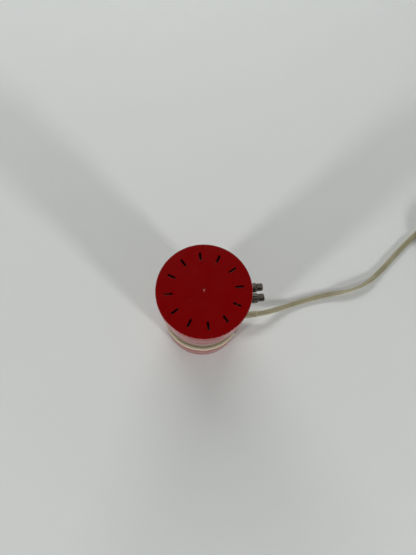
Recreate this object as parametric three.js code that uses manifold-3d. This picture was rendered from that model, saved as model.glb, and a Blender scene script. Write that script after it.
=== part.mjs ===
// A mains-powered electronic table metronome: a red drum with a slotted cap over a loudspeaker,
// a wrap-around red window over a cream ring that flashes the beat, and two chrome knobs on its spine.
// Millimetres, +Z up. The origin is the centre of the underside, and the spine is on the +Y side.
import * as THREE from 'three';
import { mergeVertices } from 'three/addons/utils/BufferGeometryUtils.js';
import Module from 'manifold-3d';

const wasm = await Module();
wasm.setup();

// ---------------------------------------------------------------- driving sizes
const DRUM_RADIUS = 40;
const HEIGHT = 140;
const WALL = 2; // moulded walls of the housings and the cap
const LENS_WALL = 1.5;
const GAP = 0.3; // between pieces that rest on each other

const PAD_RADIUS = 30;
const PAD_THICK = 1.3;
const FOOT_CLEARANCE = 0.8; // from the table to the lower edge of the drum
const PLATE_THICK = 3;
const WINDOW_BOTTOM = 49; // the window is open from here, less the ring along its foot
const RING_THICK = 3;
const WINDOW_TOP = 102;
const SPINE_HALF_ANGLE = 40.8; // degrees each side of +Y
const CAP_HEIGHT = 6; // of the cap's visible edge
const CAP_ROUND = 0.8; // radius of the cap's rim

const SLOT_COUNT = 12;
const SLOT_START = 25.9; // radius of a slot's inner end
const SLOT_LENGTH = 7;
const SLOT_WIDTH = 2;

const KNOB_SPACING = 9.6;
const KNOB_Z = 110;
const KNOB_REACH = 53.9; // from the drum's axis to a knob's tip
const SKIRT_RADIUS = 4.4;
const GRIP_RADIUS = 3.5;
const FLUTES = 12;

const CORD_WIDTH = 6;
const CORD_THICK = 3.2;
const CORD_Z = 9.2; // height of the cord's exit
const CORD_X = 2;

// ---------------------------------------------------------------- derived sizes
const INNER_RADIUS = DRUM_RADIUS - WALL;
const LENS_RADIUS = INNER_RADIUS - GAP;
const LENS_INNER = LENS_RADIUS - LENS_WALL;
const CORE_RADIUS = LENS_INNER - GAP; // what fits inside the window's lens
const PLATE_BOTTOM = PAD_THICK + GAP;
const PLATE_TOP = PLATE_BOTTOM + PLATE_THICK;
const FLOOR = PLATE_TOP + GAP; // what stands on the base plate starts here
const CAP_BOTTOM = HEIGHT - CAP_HEIGHT;
const BAND_TOP = CAP_BOTTOM - GAP;
const SCREW_ANGLES = [30, 150, 270];

// Facets round a piece: the outer shells, pieces inside them, and small pieces.
const SHELL_FACETS = 60;
const INNER_FACETS = 32;
const SMALL_FACETS = 20;
const SCREW_FACETS = 10;
const COIL_FACETS = 40;

// ---------------------------------------------------------------- shape helpers
const radians = (degrees) => (degrees * Math.PI) / 180;
const polar = (radius, degrees) => [radius * Math.cos(radians(degrees)), radius * Math.sin(radians(degrees))];

// A closed three.js geometry as a solid that can be joined and cut.
function solid(geometry) {
  const bare = geometry.clone();
  bare.deleteAttribute('normal');
  bare.deleteAttribute('uv');
  const merged = mergeVertices(bare, 1e-4);
  const corners = merged.index.array;
  const kept = [];
  for (let i = 0; i < corners.length; i += 3) {
    const [a, b, c] = [corners[i], corners[i + 1], corners[i + 2]];
    if (a !== b && b !== c && c !== a) kept.push(a, b, c);
  }
  const vertProperties = new Float32Array(merged.attributes.position.array);
  const triVerts = new Uint32Array(kept);
  return new wasm.Manifold(new wasm.Mesh({ numProp: 3, vertProperties, triVerts }));
}

function join(first, ...others) {
  return others.reduce((whole, other) => whole.add(other), first);
}

function cut(first, ...others) {
  return others.reduce((rest, other) => rest.subtract(other), first);
}

// A profile of [radius, height] points turned about Z. It runs up the outside from the axis to the
// axis, or counter-clockwise round to its first point.
function turned(profile, segments = INNER_FACETS, place = (geometry) => geometry) {
  const points = profile.map(([radius, height]) => new THREE.Vector2(radius, height));
  return solid(place(new THREE.LatheGeometry(points, segments).rotateX(Math.PI / 2)));
}

// The closed profile of a ring with a rectangular section.
function ringProfile(inner, outer, bottom, top) {
  return [[inner, bottom], [outer, bottom], [outer, top], [inner, top], [inner, bottom]];
}

// The same, turned about an axis along +Y through (x, z), where height is y.
function turnedAlongY(profile, x, z, segments = SMALL_FACETS) {
  return turned(profile, segments, (geometry) => geometry.rotateX(-Math.PI / 2).translate(x, 0, z));
}

// The plug of a round hole along +Y through (x, z), from one y to another.
function bore(radius, x, z, [start, end]) {
  return turnedAlongY([[0, start], [radius, start], [radius, end], [0, end]], x, z);
}

function block([x0, x1], [y0, y1], [z0, z1], place = (geometry) => geometry) {
  const box = new THREE.BoxGeometry(x1 - x0, y1 - y0, z1 - z0);
  return solid(place(box.translate((x0 + x1) / 2, (y0 + y1) / 2, (z0 + z1) / 2)));
}

// An upright cylinder.
function post(radius, [x, y], [bottom, top], segments = SCREW_FACETS) {
  const cylinder = new THREE.CylinderGeometry(radius, radius, top - bottom, segments);
  return solid(cylinder.rotateX(Math.PI / 2).translate(x, y, (bottom + top) / 2));
}

// An upright prism on a THREE.Shape.
function prism(shape, [bottom, top], curveSegments = 12) {
  const options = { depth: top - bottom, bevelEnabled: false, curveSegments };
  return solid(new THREE.ExtrudeGeometry(shape, options).translate(0, 0, bottom));
}

// A sector of a ring, from one angle round to another, counter-clockwise.
function sector([inner, outer], [start, end], [bottom, top]) {
  const shape = new THREE.Shape();
  shape.absarc(0, 0, outer, radians(start), radians(end), false);
  shape.absarc(0, 0, inner, radians(end), radians(start), true);
  return prism(shape, [bottom, top], Math.ceil((end - start) / 6));
}

// A tube with an oval section along a smooth curve through the points.
function tube(points, width, thick, steps, sides = 8) {
  const section = new THREE.Shape();
  for (let i = 0; i < sides; i += 1) {
    const angle = (2 * Math.PI * (i + 0.5)) / sides;
    const corner = [(width / 2) * Math.cos(angle), (thick / 2) * Math.sin(angle)];
    if (i === 0) section.moveTo(...corner);
    else section.lineTo(...corner);
  }
  section.closePath();
  const curve = new THREE.CatmullRomCurve3(points.map((point) => new THREE.Vector3(...point)));
  return solid(new THREE.ExtrudeGeometry(section, { extrudePath: curve, steps, bevelEnabled: false }));
}

// ---------------------------------------------------------------- looks and the assembly
const LOOKS = {
  red: { color: 0x9a1012, roughness: 0.3, metalness: 0 },
  lens: { color: 0x6e0a0a, roughness: 0.12, metalness: 0 },
  cream: { color: 0xe4d8bb, roughness: 0.45, metalness: 0 },
  beige: { color: 0xa49b80, roughness: 0.55, metalness: 0 },
  chrome: { color: 0xd2d4d8, roughness: 0.12, metalness: 1 },
  steel: { color: 0x9a9ca0, roughness: 0.4, metalness: 1 },
  brass: { color: 0xb8913f, roughness: 0.35, metalness: 1 },
  black: { color: 0x17171a, roughness: 0.6, metalness: 0 },
  white: { color: 0xe9e9e4, roughness: 0.5, metalness: 0 },
  paper: { color: 0x2c2a28, roughness: 0.9, metalness: 0 },
  board: { color: 0x2f5b34, roughness: 0.5, metalness: 0 },
  copper: { color: 0x9c4f2a, roughness: 0.5, metalness: 0.6 },
  glass: { color: 0xf2efe4, roughness: 0.1, metalness: 0 },
};

const metronome = new THREE.Group();

function add(name, whole, look) {
  const { vertProperties, triVerts } = whole.getMesh();
  const geometry = new THREE.BufferGeometry();
  geometry.setAttribute('position', new THREE.BufferAttribute(new Float32Array(vertProperties), 3));
  geometry.setIndex(new THREE.BufferAttribute(new Uint32Array(triVerts), 1));
  geometry.computeVertexNormals();
  const mesh = new THREE.Mesh(geometry, new THREE.MeshStandardMaterial(LOOKS[look]));
  mesh.name = name;
  metronome.add(mesh);
  return mesh;
}

// A pan-head screw with a cross recess, pointing down from its head, or up when it is turned over.
function screw([x, y], headTop, { headRadius, headHeight, shankRadius, length }, up = false) {
  const profile = [
    [0, -headHeight - length],
    [shankRadius, -headHeight - length],
    [shankRadius, -headHeight],
    [headRadius, -headHeight],
    [headRadius, -headHeight / 2],
    [headRadius * 0.7, 0],
    [0, 0],
  ];
  const recess = headHeight * 0.6;
  const arm = headRadius * 0.6;
  const slit = headRadius * 0.12;
  const place = (geometry) => {
    if (up) geometry.rotateX(Math.PI);
    return geometry.translate(x, y, headTop);
  };
  return cut(
    turned(profile, SCREW_FACETS, place),
    block([-arm, arm], [-slit, slit], [-recess, 1], place),
    block([-slit, slit], [-arm, arm], [-recess, 1], place),
  );
}

// ---------------------------------------------------------------- base
const BOSS_RADIUS = 3.6;
const BOSS_CENTRE = 32.5; // radius of the screw circle
const BOSS_TOP = 18;
const BASE_SCREW = { headRadius: 2.7, headHeight: 1.4, shankRadius: 1.2, length: 11 };
const SCREW_HOLE = 1.5;

const BOARD_POSTS = [[31, 0], [-15.5, 26.8], [-15.5, -26.8]];
const BOARD_BOTTOM = 32;
const BOARD_THICK = 1.6;
const BOARD_TOP = BOARD_BOTTOM + BOARD_THICK;
const BOARD_SCREW = { headRadius: 2.1, headHeight: 1.2, shankRadius: 0.9, length: 7 };
const WIRE_NOTCH = [28.5, 36.5]; // y of the notch that the wires rise through, behind the spine
const WIRE_NOTCH_HALF = 17;

function basePlate() {
  let plate = turned([
    [0, PLATE_BOTTOM],
    [LENS_RADIUS, PLATE_BOTTOM],
    [LENS_RADIUS, PLATE_TOP],
    [0, PLATE_TOP],
  ], SHELL_FACETS);
  for (const angle of SCREW_ANGLES) {
    const centre = polar(BOSS_CENTRE, angle);
    plate = cut(
      plate,
      post(SCREW_HOLE, centre, [PLATE_BOTTOM - 1, PLATE_TOP + 1]),
      post(BASE_SCREW.headRadius + GAP, centre, [PLATE_BOTTOM - 1, PLATE_BOTTOM + 1.8]),
    );
  }
  for (const centre of BOARD_POSTS) {
    plate = join(plate, post(2.6, centre, [PLATE_TOP - 0.5, BOARD_BOTTOM - GAP]));
    plate = cut(plate, post(1.2, centre, [24, BOARD_BOTTOM]));
  }
  return plate;
}

function basePad() {
  const chamfer = 0.4;
  return turned([
    [0, 0],
    [PAD_RADIUS - chamfer, 0],
    [PAD_RADIUS, chamfer],
    [PAD_RADIUS, PAD_THICK],
    [0, PAD_THICK],
  ]);
}

add('base_pad', basePad(), 'black');
add('base_plate', basePlate(), 'black');
SCREW_ANGLES.forEach((angle, i) => {
  const place = polar(BOSS_CENTRE, angle);
  add(`base_screw_${i + 1}`, screw(place, PLATE_BOTTOM + 0.1, BASE_SCREW, true), 'steel');
});

// ---------------------------------------------------------------- housings
const LUG_CENTRE = 33.6; // radius of the speaker's screw circle
const LUG_TOP = 130.7;
const LUG_HEIGHT = 4.7;
const TONGUE_HALF_ANGLE = 24;
const CONTROL_FLAT = { half: 10.5, front: DRUM_RADIUS + 0.3, back: 36.8, tall: 11.2 };
const BUSHING_RADIUS = 3;
const CORD_HOLE_RADIUS = 3.6;
const KNOB_XS = [-KNOB_SPACING / 2, KNOB_SPACING / 2];

function lowerHousing() {
  const top = WINDOW_BOTTOM - GAP;
  const wall = turned([
    [INNER_RADIUS, FOOT_CLEARANCE],
    [DRUM_RADIUS - 0.6, FOOT_CLEARANCE],
    [DRUM_RADIUS, FOOT_CLEARANCE + 0.6],
    [DRUM_RADIUS, top],
    [INNER_RADIUS, top],
    [INNER_RADIUS, FOOT_CLEARANCE],
  ], SHELL_FACETS);
  let housing = wall;
  for (const angle of SCREW_ANGLES) {
    const centre = polar(BOSS_CENTRE, angle);
    const turn = (geometry) => geometry.rotateZ(radians(angle));
    const rib = block([BOSS_CENTRE, INNER_RADIUS + 1], [-1.4, 1.4], [FLOOR, BOSS_TOP], turn);
    housing = join(housing, rib, post(BOSS_RADIUS, centre, [FLOOR, BOSS_TOP]));
    housing = cut(housing, post(SCREW_HOLE, centre, [FLOOR - 1, BOSS_TOP - 2]));
  }
  return cut(housing, bore(CORD_HOLE_RADIUS, CORD_X, CORD_Z, [30, 45]));
}

function upperHousing() {
  const shell = turned(ringProfile(INNER_RADIUS, DRUM_RADIUS, WINDOW_BOTTOM, BAND_TOP), SHELL_FACETS);
  const windowAngles = [90 + SPINE_HALF_ANGLE, 450 - SPINE_HALF_ANGLE];
  const opening = sector([30, 50], windowAngles, [WINDOW_BOTTOM - 1, WINDOW_TOP]);
  let housing = cut(shell, opening);

  // A tongue on the spine reaches down inside the lower drum.
  const tongueAngles = [90 - TONGUE_HALF_ANGLE, 90 + TONGUE_HALF_ANGLE];
  const rootHeights = [WINDOW_BOTTOM + 1, WINDOW_BOTTOM + 9];
  const root = sector([CORE_RADIUS, INNER_RADIUS + 0.5], tongueAngles, rootHeights);
  const tongue = sector([CORE_RADIUS, LENS_RADIUS], tongueAngles, [WINDOW_BOTTOM - 12, WINDOW_BOTTOM + 2]);
  housing = join(housing, root, tongue);

  // The flat that the two controls are bolted to.
  const { half, front, back, tall } = CONTROL_FLAT;
  housing = join(housing, block([-half, half], [back, front], [KNOB_Z - tall / 2, KNOB_Z + tall / 2]));
  for (const x of KNOB_XS) {
    housing = cut(housing, bore(BUSHING_RADIUS + GAP, x, KNOB_Z, [30, 50]));
  }

  // Three lugs inside the band hold the loudspeaker.
  for (const angle of SCREW_ANGLES) {
    const turn = (geometry) => geometry.rotateZ(radians(angle));
    const lugBottom = LUG_TOP - LUG_HEIGHT;
    const lug = block([LUG_CENTRE - 2.6, INNER_RADIUS + 1], [-3.5, 3.5], [lugBottom, LUG_TOP], turn);
    const hole = post(SCREW_HOLE, polar(LUG_CENTRE, angle), [lugBottom - 1, LUG_TOP + 1]);
    housing = cut(join(housing, lug), hole);
  }
  return housing;
}

add('lower_housing', lowerHousing(), 'red');
add('upper_housing', upperHousing(), 'red');

// ---------------------------------------------------------------- cap
const SKIRT_BOTTOM = 131;

function topCap() {
  const under = HEIGHT - WALL;
  const profile = [
    [0, under],
    [CORE_RADIUS, under],
    [CORE_RADIUS, SKIRT_BOTTOM],
    [LENS_RADIUS, SKIRT_BOTTOM],
    [LENS_RADIUS, CAP_BOTTOM],
    [DRUM_RADIUS, CAP_BOTTOM],
  ];
  const rimSteps = 3;
  for (let i = 0; i <= rimSteps; i += 1) {
    const [across, up] = polar(CAP_ROUND, (90 * i) / rimSteps);
    profile.push([DRUM_RADIUS - CAP_ROUND + across, HEIGHT - CAP_ROUND + up]);
  }
  profile.push([0, HEIGHT]);
  let cap = turned(profile, SHELL_FACETS);
  for (let i = 0; i < SLOT_COUNT; i += 1) {
    const turn = (geometry) => geometry.rotateZ((2 * Math.PI * i) / SLOT_COUNT);
    const ends = [SLOT_START, SLOT_START + SLOT_LENGTH];
    cap = cut(cap, block(ends, [-SLOT_WIDTH / 2, SLOT_WIDTH / 2], [under - 1, HEIGHT + 1], turn));
  }
  // The moulding mark: a small pip in a shallow dimple.
  const dimple = post(1.5, [0, 0], [HEIGHT - 0.3, HEIGHT + 1]);
  const pip = post(0.7, [0, 0], [HEIGHT - 0.5, HEIGHT]);
  return join(cut(cap, dimple), pip);
}

add('top_cap', topCap(), 'red');

// ---------------------------------------------------------------- window, lamp and reflectors
const RING_TOP = WINDOW_BOTTOM + RING_THICK;
const RING_LIP_BOTTOM = 44;
const LENS_TOP = 104.5;
const LOWER_REFLECTOR = [49, 50.2];
const UPPER_REFLECTOR = [102.5, 103.7];
const BEHIND_SPINE = TONGUE_HALF_ANGLE + 4; // half angle that the window leaves open at the back

function openBehindSpine(whole) {
  return cut(whole, sector([30, 50], [90 - BEHIND_SPINE, 90 + BEHIND_SPINE], [40, 110]));
}

// The cream ring along the foot of the window, with a lip inside the lower housing.
function windowRing() {
  const ring = turned([
    [LENS_INNER, RING_LIP_BOTTOM],
    [LENS_RADIUS, RING_LIP_BOTTOM],
    [LENS_RADIUS, WINDOW_BOTTOM],
    [DRUM_RADIUS - 0.3, WINDOW_BOTTOM],
    [DRUM_RADIUS, WINDOW_BOTTOM + 0.3],
    [DRUM_RADIUS, RING_TOP - 0.6],
    [DRUM_RADIUS - 0.6, RING_TOP],
    [LENS_INNER, RING_TOP],
    [LENS_INNER, RING_LIP_BOTTOM],
  ], SHELL_FACETS);
  const spine = SPINE_HALF_ANGLE + 0.5;
  return openBehindSpine(cut(ring, sector([LENS_RADIUS, 50], [90 - spine, 90 + spine], [40, 60])));
}

function windowLens() {
  const profile = ringProfile(LENS_INNER, LENS_RADIUS, RING_TOP + GAP, LENS_TOP);
  return openBehindSpine(turned(profile, SHELL_FACETS));
}

// A white disc inside the lens, with a notch for the wires and a round hole.
function reflector([bottom, top], holeRadius) {
  const disc = turned([[0, bottom], [CORE_RADIUS - 0.1, bottom], [CORE_RADIUS - 0.1, top], [0, top]]);
  const notch = block([-WIRE_NOTCH_HALF, WIRE_NOTCH_HALF], WIRE_NOTCH, [bottom - 1, top + 1]);
  return cut(disc, notch, post(holeRadius, [0, 0], [bottom - 1, top + 1]));
}

const SOCKET_BOTTOM = LOWER_REFLECTOR[1] + GAP;
const SOCKET_BORE = 6.8;

function lampSocket() {
  return turned([
    [3.2, SOCKET_BOTTOM],
    [10, SOCKET_BOTTOM],
    [10, SOCKET_BOTTOM + 2],
    [8.6, SOCKET_BOTTOM + 3],
    [8.6, SOCKET_BOTTOM + 12],
    [SOCKET_BORE, SOCKET_BOTTOM + 12],
    [SOCKET_BORE, SOCKET_BOTTOM + 2],
    [3.2, SOCKET_BOTTOM + 2],
    [3.2, SOCKET_BOTTOM],
  ], SMALL_FACETS);
}

function bulbCap() {
  const bottom = SOCKET_BOTTOM + 2.3;
  return turned([
    [0, bottom],
    [2.2, bottom],
    [3.2, bottom + 1.4],
    [6.5, bottom + 2.2],
    [6.5, bottom + 10],
    [5.9, bottom + 11],
    [0, bottom + 11],
  ], SMALL_FACETS);
}

function bulbGlass() {
  const bottom = SOCKET_BOTTOM + 2.3 + 11 + GAP;
  const widest = 10;
  const profile = [[0, bottom], [5.4, bottom], [6.4, bottom + 5]];
  const steps = 7;
  for (let i = 0; i <= steps; i += 1) {
    const [across, up] = polar(widest, -40 + (130 * i) / steps);
    profile.push([i === steps ? 0 : across, bottom + 17 + up]);
  }
  return turned(profile, SMALL_FACETS);
}

add('window_ring', windowRing(), 'cream');
add('window_lens', windowLens(), 'lens');
add('lower_reflector', reflector(LOWER_REFLECTOR, 3), 'white');
add('upper_reflector', reflector(UPPER_REFLECTOR, 4), 'white');
add('lamp_socket', lampSocket(), 'black');
add('bulb_cap', bulbCap(), 'brass');
add('bulb_glass', bulbGlass(), 'glass');

// ---------------------------------------------------------------- loudspeaker
const RIM_BOTTOM = LUG_TOP + GAP;
const RIM_TOP = RIM_BOTTOM + 1.4;
const BASKET_BOTTOM = 115.2;
const MAGNET_BOTTOM = 105.6;
const SPEAKER_SCREW = { headRadius: 2.1, headHeight: 1.4, shankRadius: 1.2, length: 5 };

function speakerFrame() {
  let frame = turned([
    [10, BASKET_BOTTOM],
    [17.4, BASKET_BOTTOM],
    [30.6, RIM_BOTTOM - 3],
    [30.6, RIM_BOTTOM],
    [CORE_RADIUS - 0.5, RIM_BOTTOM],
    [CORE_RADIUS - 0.5, RIM_TOP],
    [29.3, RIM_TOP],
    [29.3, RIM_BOTTOM - 2.6],
    [16.6, BASKET_BOTTOM + 1.2],
    [10, BASKET_BOTTOM + 1.2],
    [10, BASKET_BOTTOM],
  ], INNER_FACETS);
  for (let i = 0; i < 4; i += 1) {
    const middle = 45 + 90 * i;
    const opening = sector([18.8, 28], [middle - 28, middle + 28], [BASKET_BOTTOM - 1, RIM_BOTTOM - 1.6]);
    frame = cut(frame, opening);
  }
  for (const angle of SCREW_ANGLES) {
    frame = cut(frame, post(SCREW_HOLE, polar(LUG_CENTRE, angle), [RIM_BOTTOM - 1, RIM_TOP + 1]));
  }
  return frame;
}

// The paper cone with its dust cap, and the voice-coil former round the magnet's pole.
function speakerCone() {
  const edge = RIM_BOTTOM + 0.6;
  const neck = 120.5;
  return turned([
    [0, 124.4],
    [5, 123.2],
    [7.3, neck],
    [7.3, BASKET_BOTTOM + 1],
    [8, BASKET_BOTTOM + 1],
    [8, neck - 0.4],
    [26.6, edge - 1.6],
    [27.3, edge - 0.7],
    [28.2, edge - 0.7],
    [28.2, edge],
    [26.9, edge],
    [26, edge - 1.2],
    [8.2, neck + 1],
    [5.4, neck + 3.3],
    [0, neck + 4.6],
  ], INNER_FACETS);
}

function speakerMagnet() {
  const top = BASKET_BOTTOM - GAP;
  return turned([
    [0, MAGNET_BOTTOM],
    [14.4, MAGNET_BOTTOM],
    [15, MAGNET_BOTTOM + 0.6],
    [15, top],
    [9.6, top],
    [9.6, MAGNET_BOTTOM + 3],
    [6.2, MAGNET_BOTTOM + 3],
    [6.2, BASKET_BOTTOM + 2.4],
    [0, BASKET_BOTTOM + 2.4],
  ], INNER_FACETS);
}

function speakerCloth() {
  const top = HEIGHT - WALL - GAP;
  return turned([[0, top - 0.5], [CORE_RADIUS - 0.4, top - 0.5], [CORE_RADIUS - 0.4, top], [0, top]]);
}

add('speaker_frame', speakerFrame(), 'steel');
add('speaker_magnet', speakerMagnet(), 'steel');
add('speaker_cone', speakerCone(), 'paper');
add('speaker_cloth', speakerCloth(), 'paper');
SCREW_ANGLES.forEach((angle, i) => {
  const headTop = RIM_TOP + GAP + SPEAKER_SCREW.headHeight;
  add(`speaker_screw_${i + 1}`, screw(polar(LUG_CENTRE, angle), headTop, SPEAKER_SCREW), 'steel');
});

// ---------------------------------------------------------------- controls
const CONTROL_FRONT = CONTROL_FLAT.back - GAP; // face of a control's body
const CONTROL_DEPTH = 7;
const CONTROL_RADIUS = 4.5;
const BUSHING_END = 42.3;
const NUT = [CONTROL_FLAT.front + GAP, CONTROL_FLAT.front + 1.7];
const SHAFT_RADIUS = 1.5;
const SHAFT = [CONTROL_FRONT - 3, 50];
const KNOB_BACK = BUSHING_END + GAP;
const SKIRT_END = 48;

function controlBody(x) {
  const back = CONTROL_FRONT - CONTROL_DEPTH;
  const inside = SHAFT_RADIUS + GAP;
  return turnedAlongY([
    [0, back],
    [CONTROL_RADIUS, back],
    [CONTROL_RADIUS, CONTROL_FRONT],
    [BUSHING_RADIUS, CONTROL_FRONT],
    [BUSHING_RADIUS, BUSHING_END],
    [inside, BUSHING_END],
    [inside, SHAFT[0] - GAP],
    [0, SHAFT[0] - GAP],
  ], x, KNOB_Z);
}

function hexNut(x) {
  const hexagon = new THREE.CylinderGeometry(4.6, 4.6, NUT[1] - NUT[0], 6);
  const nut = solid(hexagon.translate(x, (NUT[0] + NUT[1]) / 2, KNOB_Z));
  return cut(nut, bore(BUSHING_RADIUS + GAP, x, KNOB_Z, [30, 50]));
}

function shaft(x) {
  const [start, end] = SHAFT;
  const chamfer = 0.3;
  return turnedAlongY([
    [0, start],
    [SHAFT_RADIUS, start],
    [SHAFT_RADIUS, end - chamfer],
    [SHAFT_RADIUS - chamfer, end],
    [0, end],
  ], x, KNOB_Z);
}

function knob(x) {
  const skirt = turnedAlongY([
    [0, KNOB_BACK],
    [SKIRT_RADIUS, KNOB_BACK],
    [SKIRT_RADIUS, SKIRT_END - 0.8],
    [SKIRT_RADIUS - 0.6, SKIRT_END],
    [0, SKIRT_END],
  ], x, KNOB_Z);
  const outline = new THREE.Shape();
  for (let i = 0; i < 2 * FLUTES; i += 1) {
    const corner = polar(i % 2 === 0 ? GRIP_RADIUS : GRIP_RADIUS - 0.5, (180 * i) / FLUTES);
    if (i === 0) outline.moveTo(...corner);
    else outline.lineTo(...corner);
  }
  outline.closePath();
  const length = KNOB_REACH - SKIRT_END + 0.5;
  const grip = new THREE.ExtrudeGeometry(outline, { depth: length, bevelEnabled: false });
  const fluted = solid(grip.rotateX(-Math.PI / 2).translate(x, SKIRT_END - 0.5, KNOB_Z));
  const dome = turnedAlongY([
    [0, SKIRT_END - 1],
    [GRIP_RADIUS + 1, SKIRT_END - 1],
    [GRIP_RADIUS + 1, KNOB_REACH - 1.4],
    [GRIP_RADIUS, KNOB_REACH - 1],
    [GRIP_RADIUS - 0.8, KNOB_REACH - 0.35],
    [GRIP_RADIUS - 2, KNOB_REACH - 0.08],
    [0, KNOB_REACH],
  ], x, KNOB_Z);
  const shaftHole = bore(SHAFT_RADIUS + GAP, x, KNOB_Z, [40, SHAFT[1] + GAP]);
  return cut(join(skirt, fluted.intersect(dome)), shaftHole);
}

['tempo', 'volume'].forEach((job, i) => {
  const x = KNOB_XS[i];
  add(`${job}_control`, controlBody(x), 'steel');
  add(`${job}_nut`, hexNut(x), 'chrome');
  add(`${job}_shaft`, shaft(x), 'steel');
  add(`${job}_knob`, knob(x), 'chrome');
});

// ---------------------------------------------------------------- circuit board
function circuitBoard() {
  const radius = 34.5;
  let board = turned([[0, BOARD_BOTTOM], [radius, BOARD_BOTTOM], [radius, BOARD_TOP], [0, BOARD_TOP]]);
  for (const centre of BOARD_POSTS) {
    board = cut(board, post(1.3, centre, [BOARD_BOTTOM - 1, BOARD_TOP + 1]));
  }
  return cut(board, block([-10, 10], WIRE_NOTCH, [BOARD_BOTTOM - 1, BOARD_TOP + 1]));
}

function can([x, y], radius, height) {
  const bottom = BOARD_TOP + GAP;
  const place = (geometry) => geometry.translate(x, y, bottom);
  const profile = [
    [0, 0],
    [radius, 0],
    [radius, height * 0.12],
    [radius * 0.92, height * 0.17],
    [radius, height * 0.22],
    [radius, height - 0.5],
    [radius - 0.5, height],
    [0, height],
  ];
  return turned(profile, SMALL_FACETS, place);
}

function transistor([x, y]) {
  const bottom = BOARD_TOP + GAP;
  let whole = block([x - 5, x + 5], [y - 2.2, y + 2.2], [bottom + 3, bottom + 11]);
  const tab = block([x - 5, x + 5], [y + 0.9, y + 2.2], [bottom + 5, bottom + 14.5]);
  whole = cut(join(whole, tab), bore(1.6, x, bottom + 12.6, [y - 5, y + 5]));
  for (const leg of [-2.5, 0, 2.5]) {
    whole = join(whole, block([x + leg - 0.4, x + leg + 0.4], [y - 0.3, y + 0.3], [bottom, bottom + 4]));
  }
  return whole;
}

function chip([x, y]) {
  const bottom = BOARD_TOP + GAP;
  let whole = block([x - 9.5, x + 9.5], [y - 3.2, y + 3.2], [bottom + 0.6, bottom + 4]);
  whole = cut(whole, post(1.1, [x - 9.5, y], [bottom + 3.3, bottom + 5]));
  for (let i = 0; i < 7; i += 1) {
    const at = x - 7.6 + 2.54 * i;
    whole = join(whole, block([at - 0.3, at + 0.3], [y - 3.9, y + 3.9], [bottom + 1.6, bottom + 2]));
    for (const side of [-1, 1]) {
      const leg = [y + side * 3.75 - 0.15, y + side * 3.75 + 0.15];
      whole = join(whole, block([at - 0.3, at + 0.3], leg, [bottom, bottom + 1.9]));
    }
  }
  return whole;
}

add('circuit_board', circuitBoard(), 'board');
BOARD_POSTS.forEach((centre, i) => {
  const headTop = BOARD_TOP + GAP + BOARD_SCREW.headHeight;
  add(`board_screw_${i + 1}`, screw(centre, headTop, BOARD_SCREW), 'steel');
});
add('capacitor_main', can([-19, -8], 6.5, 14), 'black');
add('capacitor_timing', can([-20, 9], 4, 10), 'black');
add('output_transistor', transistor([18, 8]), 'black');
add('oscillator_chip', chip([4, -16]), 'black');

// ---------------------------------------------------------------- supply
const CORE = { half: 15, tall: 25, thick: 14, y: -8, leg: 4.6, yoke: 5 };

function transformerCore() {
  const { half, tall, thick, y, leg, yoke } = CORE;
  const depth = [y - thick / 2, y + thick / 2];
  const lamination = block([-half, half], depth, [FLOOR, FLOOR + tall]);
  const inside = [FLOOR + yoke, FLOOR + tall - yoke];
  const through = [depth[0] - 1, depth[1] + 1];
  return cut(
    lamination,
    block([-half + yoke, -leg], through, inside),
    block([leg, half - yoke], through, inside),
  );
}

function transformerWinding() {
  const { half, tall, thick, y, leg, yoke } = CORE;
  const heights = [FLOOR + yoke + GAP, FLOOR + tall - yoke - GAP];
  const outer = half - yoke - GAP;
  const deep = thick / 2 + GAP;
  const round = outer - leg - GAP;
  return cut(
    block([-outer, outer], [y - deep - round, y + deep + round], heights),
    block([-leg - GAP, leg + GAP], [y - deep, y + deep], [heights[0] - 1, heights[1] + 1]),
  );
}

// A strap over the core with a foot on each side.
function transformerStrap() {
  const { half, tall, y } = CORE;
  const top = FLOOR + tall + GAP;
  const side = half + GAP;
  const wide = [y - 3.5, y + 3.5];
  return join(
    block([-side - 1, side + 1], wide, [top, top + 1]),
    block([-side - 1, -side], wide, [FLOOR, top + 0.5]),
    block([side, side + 1], wide, [FLOOR, top + 0.5]),
    block([-side - 5, -side - 0.5], wide, [FLOOR, FLOOR + 1]),
    block([side + 0.5, side + 5], wide, [FLOOR, FLOOR + 1]),
  );
}

const FUSE = { x: -26, y0: -11, y1: 9, z: FLOOR + 6, radius: 2.5 };

function fuseHolder() {
  const { x, y0, y1, z, radius } = FUSE;
  let holder = block([x - 3.4, x + 3.4], [y0 - 1.5, y1 + 1.5], [FLOOR, FLOOR + 2]);
  for (const y of [y0, y1 - 5]) {
    holder = join(holder, block([x - 3.4, x + 3.4], [y, y + 5], [FLOOR + 1, z + 1]));
  }
  return cut(holder, bore(radius + GAP, x, z, [y0 - 5, y1 + 5]));
}

function fuse() {
  const { x, y0, y1, z, radius } = FUSE;
  const thin = radius - 0.25;
  return turnedAlongY([
    [0, y0],
    [radius, y0],
    [radius, y0 + 5],
    [thin, y0 + 5],
    [thin, y1 - 5],
    [radius, y1 - 5],
    [radius, y1],
    [0, y1],
  ], x, z);
}

function terminalBlock() {
  const top = FLOOR + 9;
  let whole = block([CORD_X - 10, CORD_X + 10], [13, 23], [FLOOR, top]);
  for (const x of [CORD_X - 5, CORD_X + 5]) {
    whole = cut(whole, post(2, [x, 18], [top - 5, top + 1]));
    whole = cut(whole, bore(1.3, x, FLOOR + 3.2, [10, 16.5]));
  }
  return whole;
}

const WIRE_SLACK = 0.4; // round a wire, where a piece holds it

function cordClamp() {
  const across = CORD_WIDTH / 2 + WIRE_SLACK;
  const high = CORD_THICK / 2 + WIRE_SLACK;
  return cut(
    block([CORD_X - 8, CORD_X + 8], [27, 32], [FLOOR, CORD_Z + high + 2]),
    block([CORD_X - across, CORD_X + across], [26, 33], [CORD_Z - high, CORD_Z + high]),
  );
}

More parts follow.
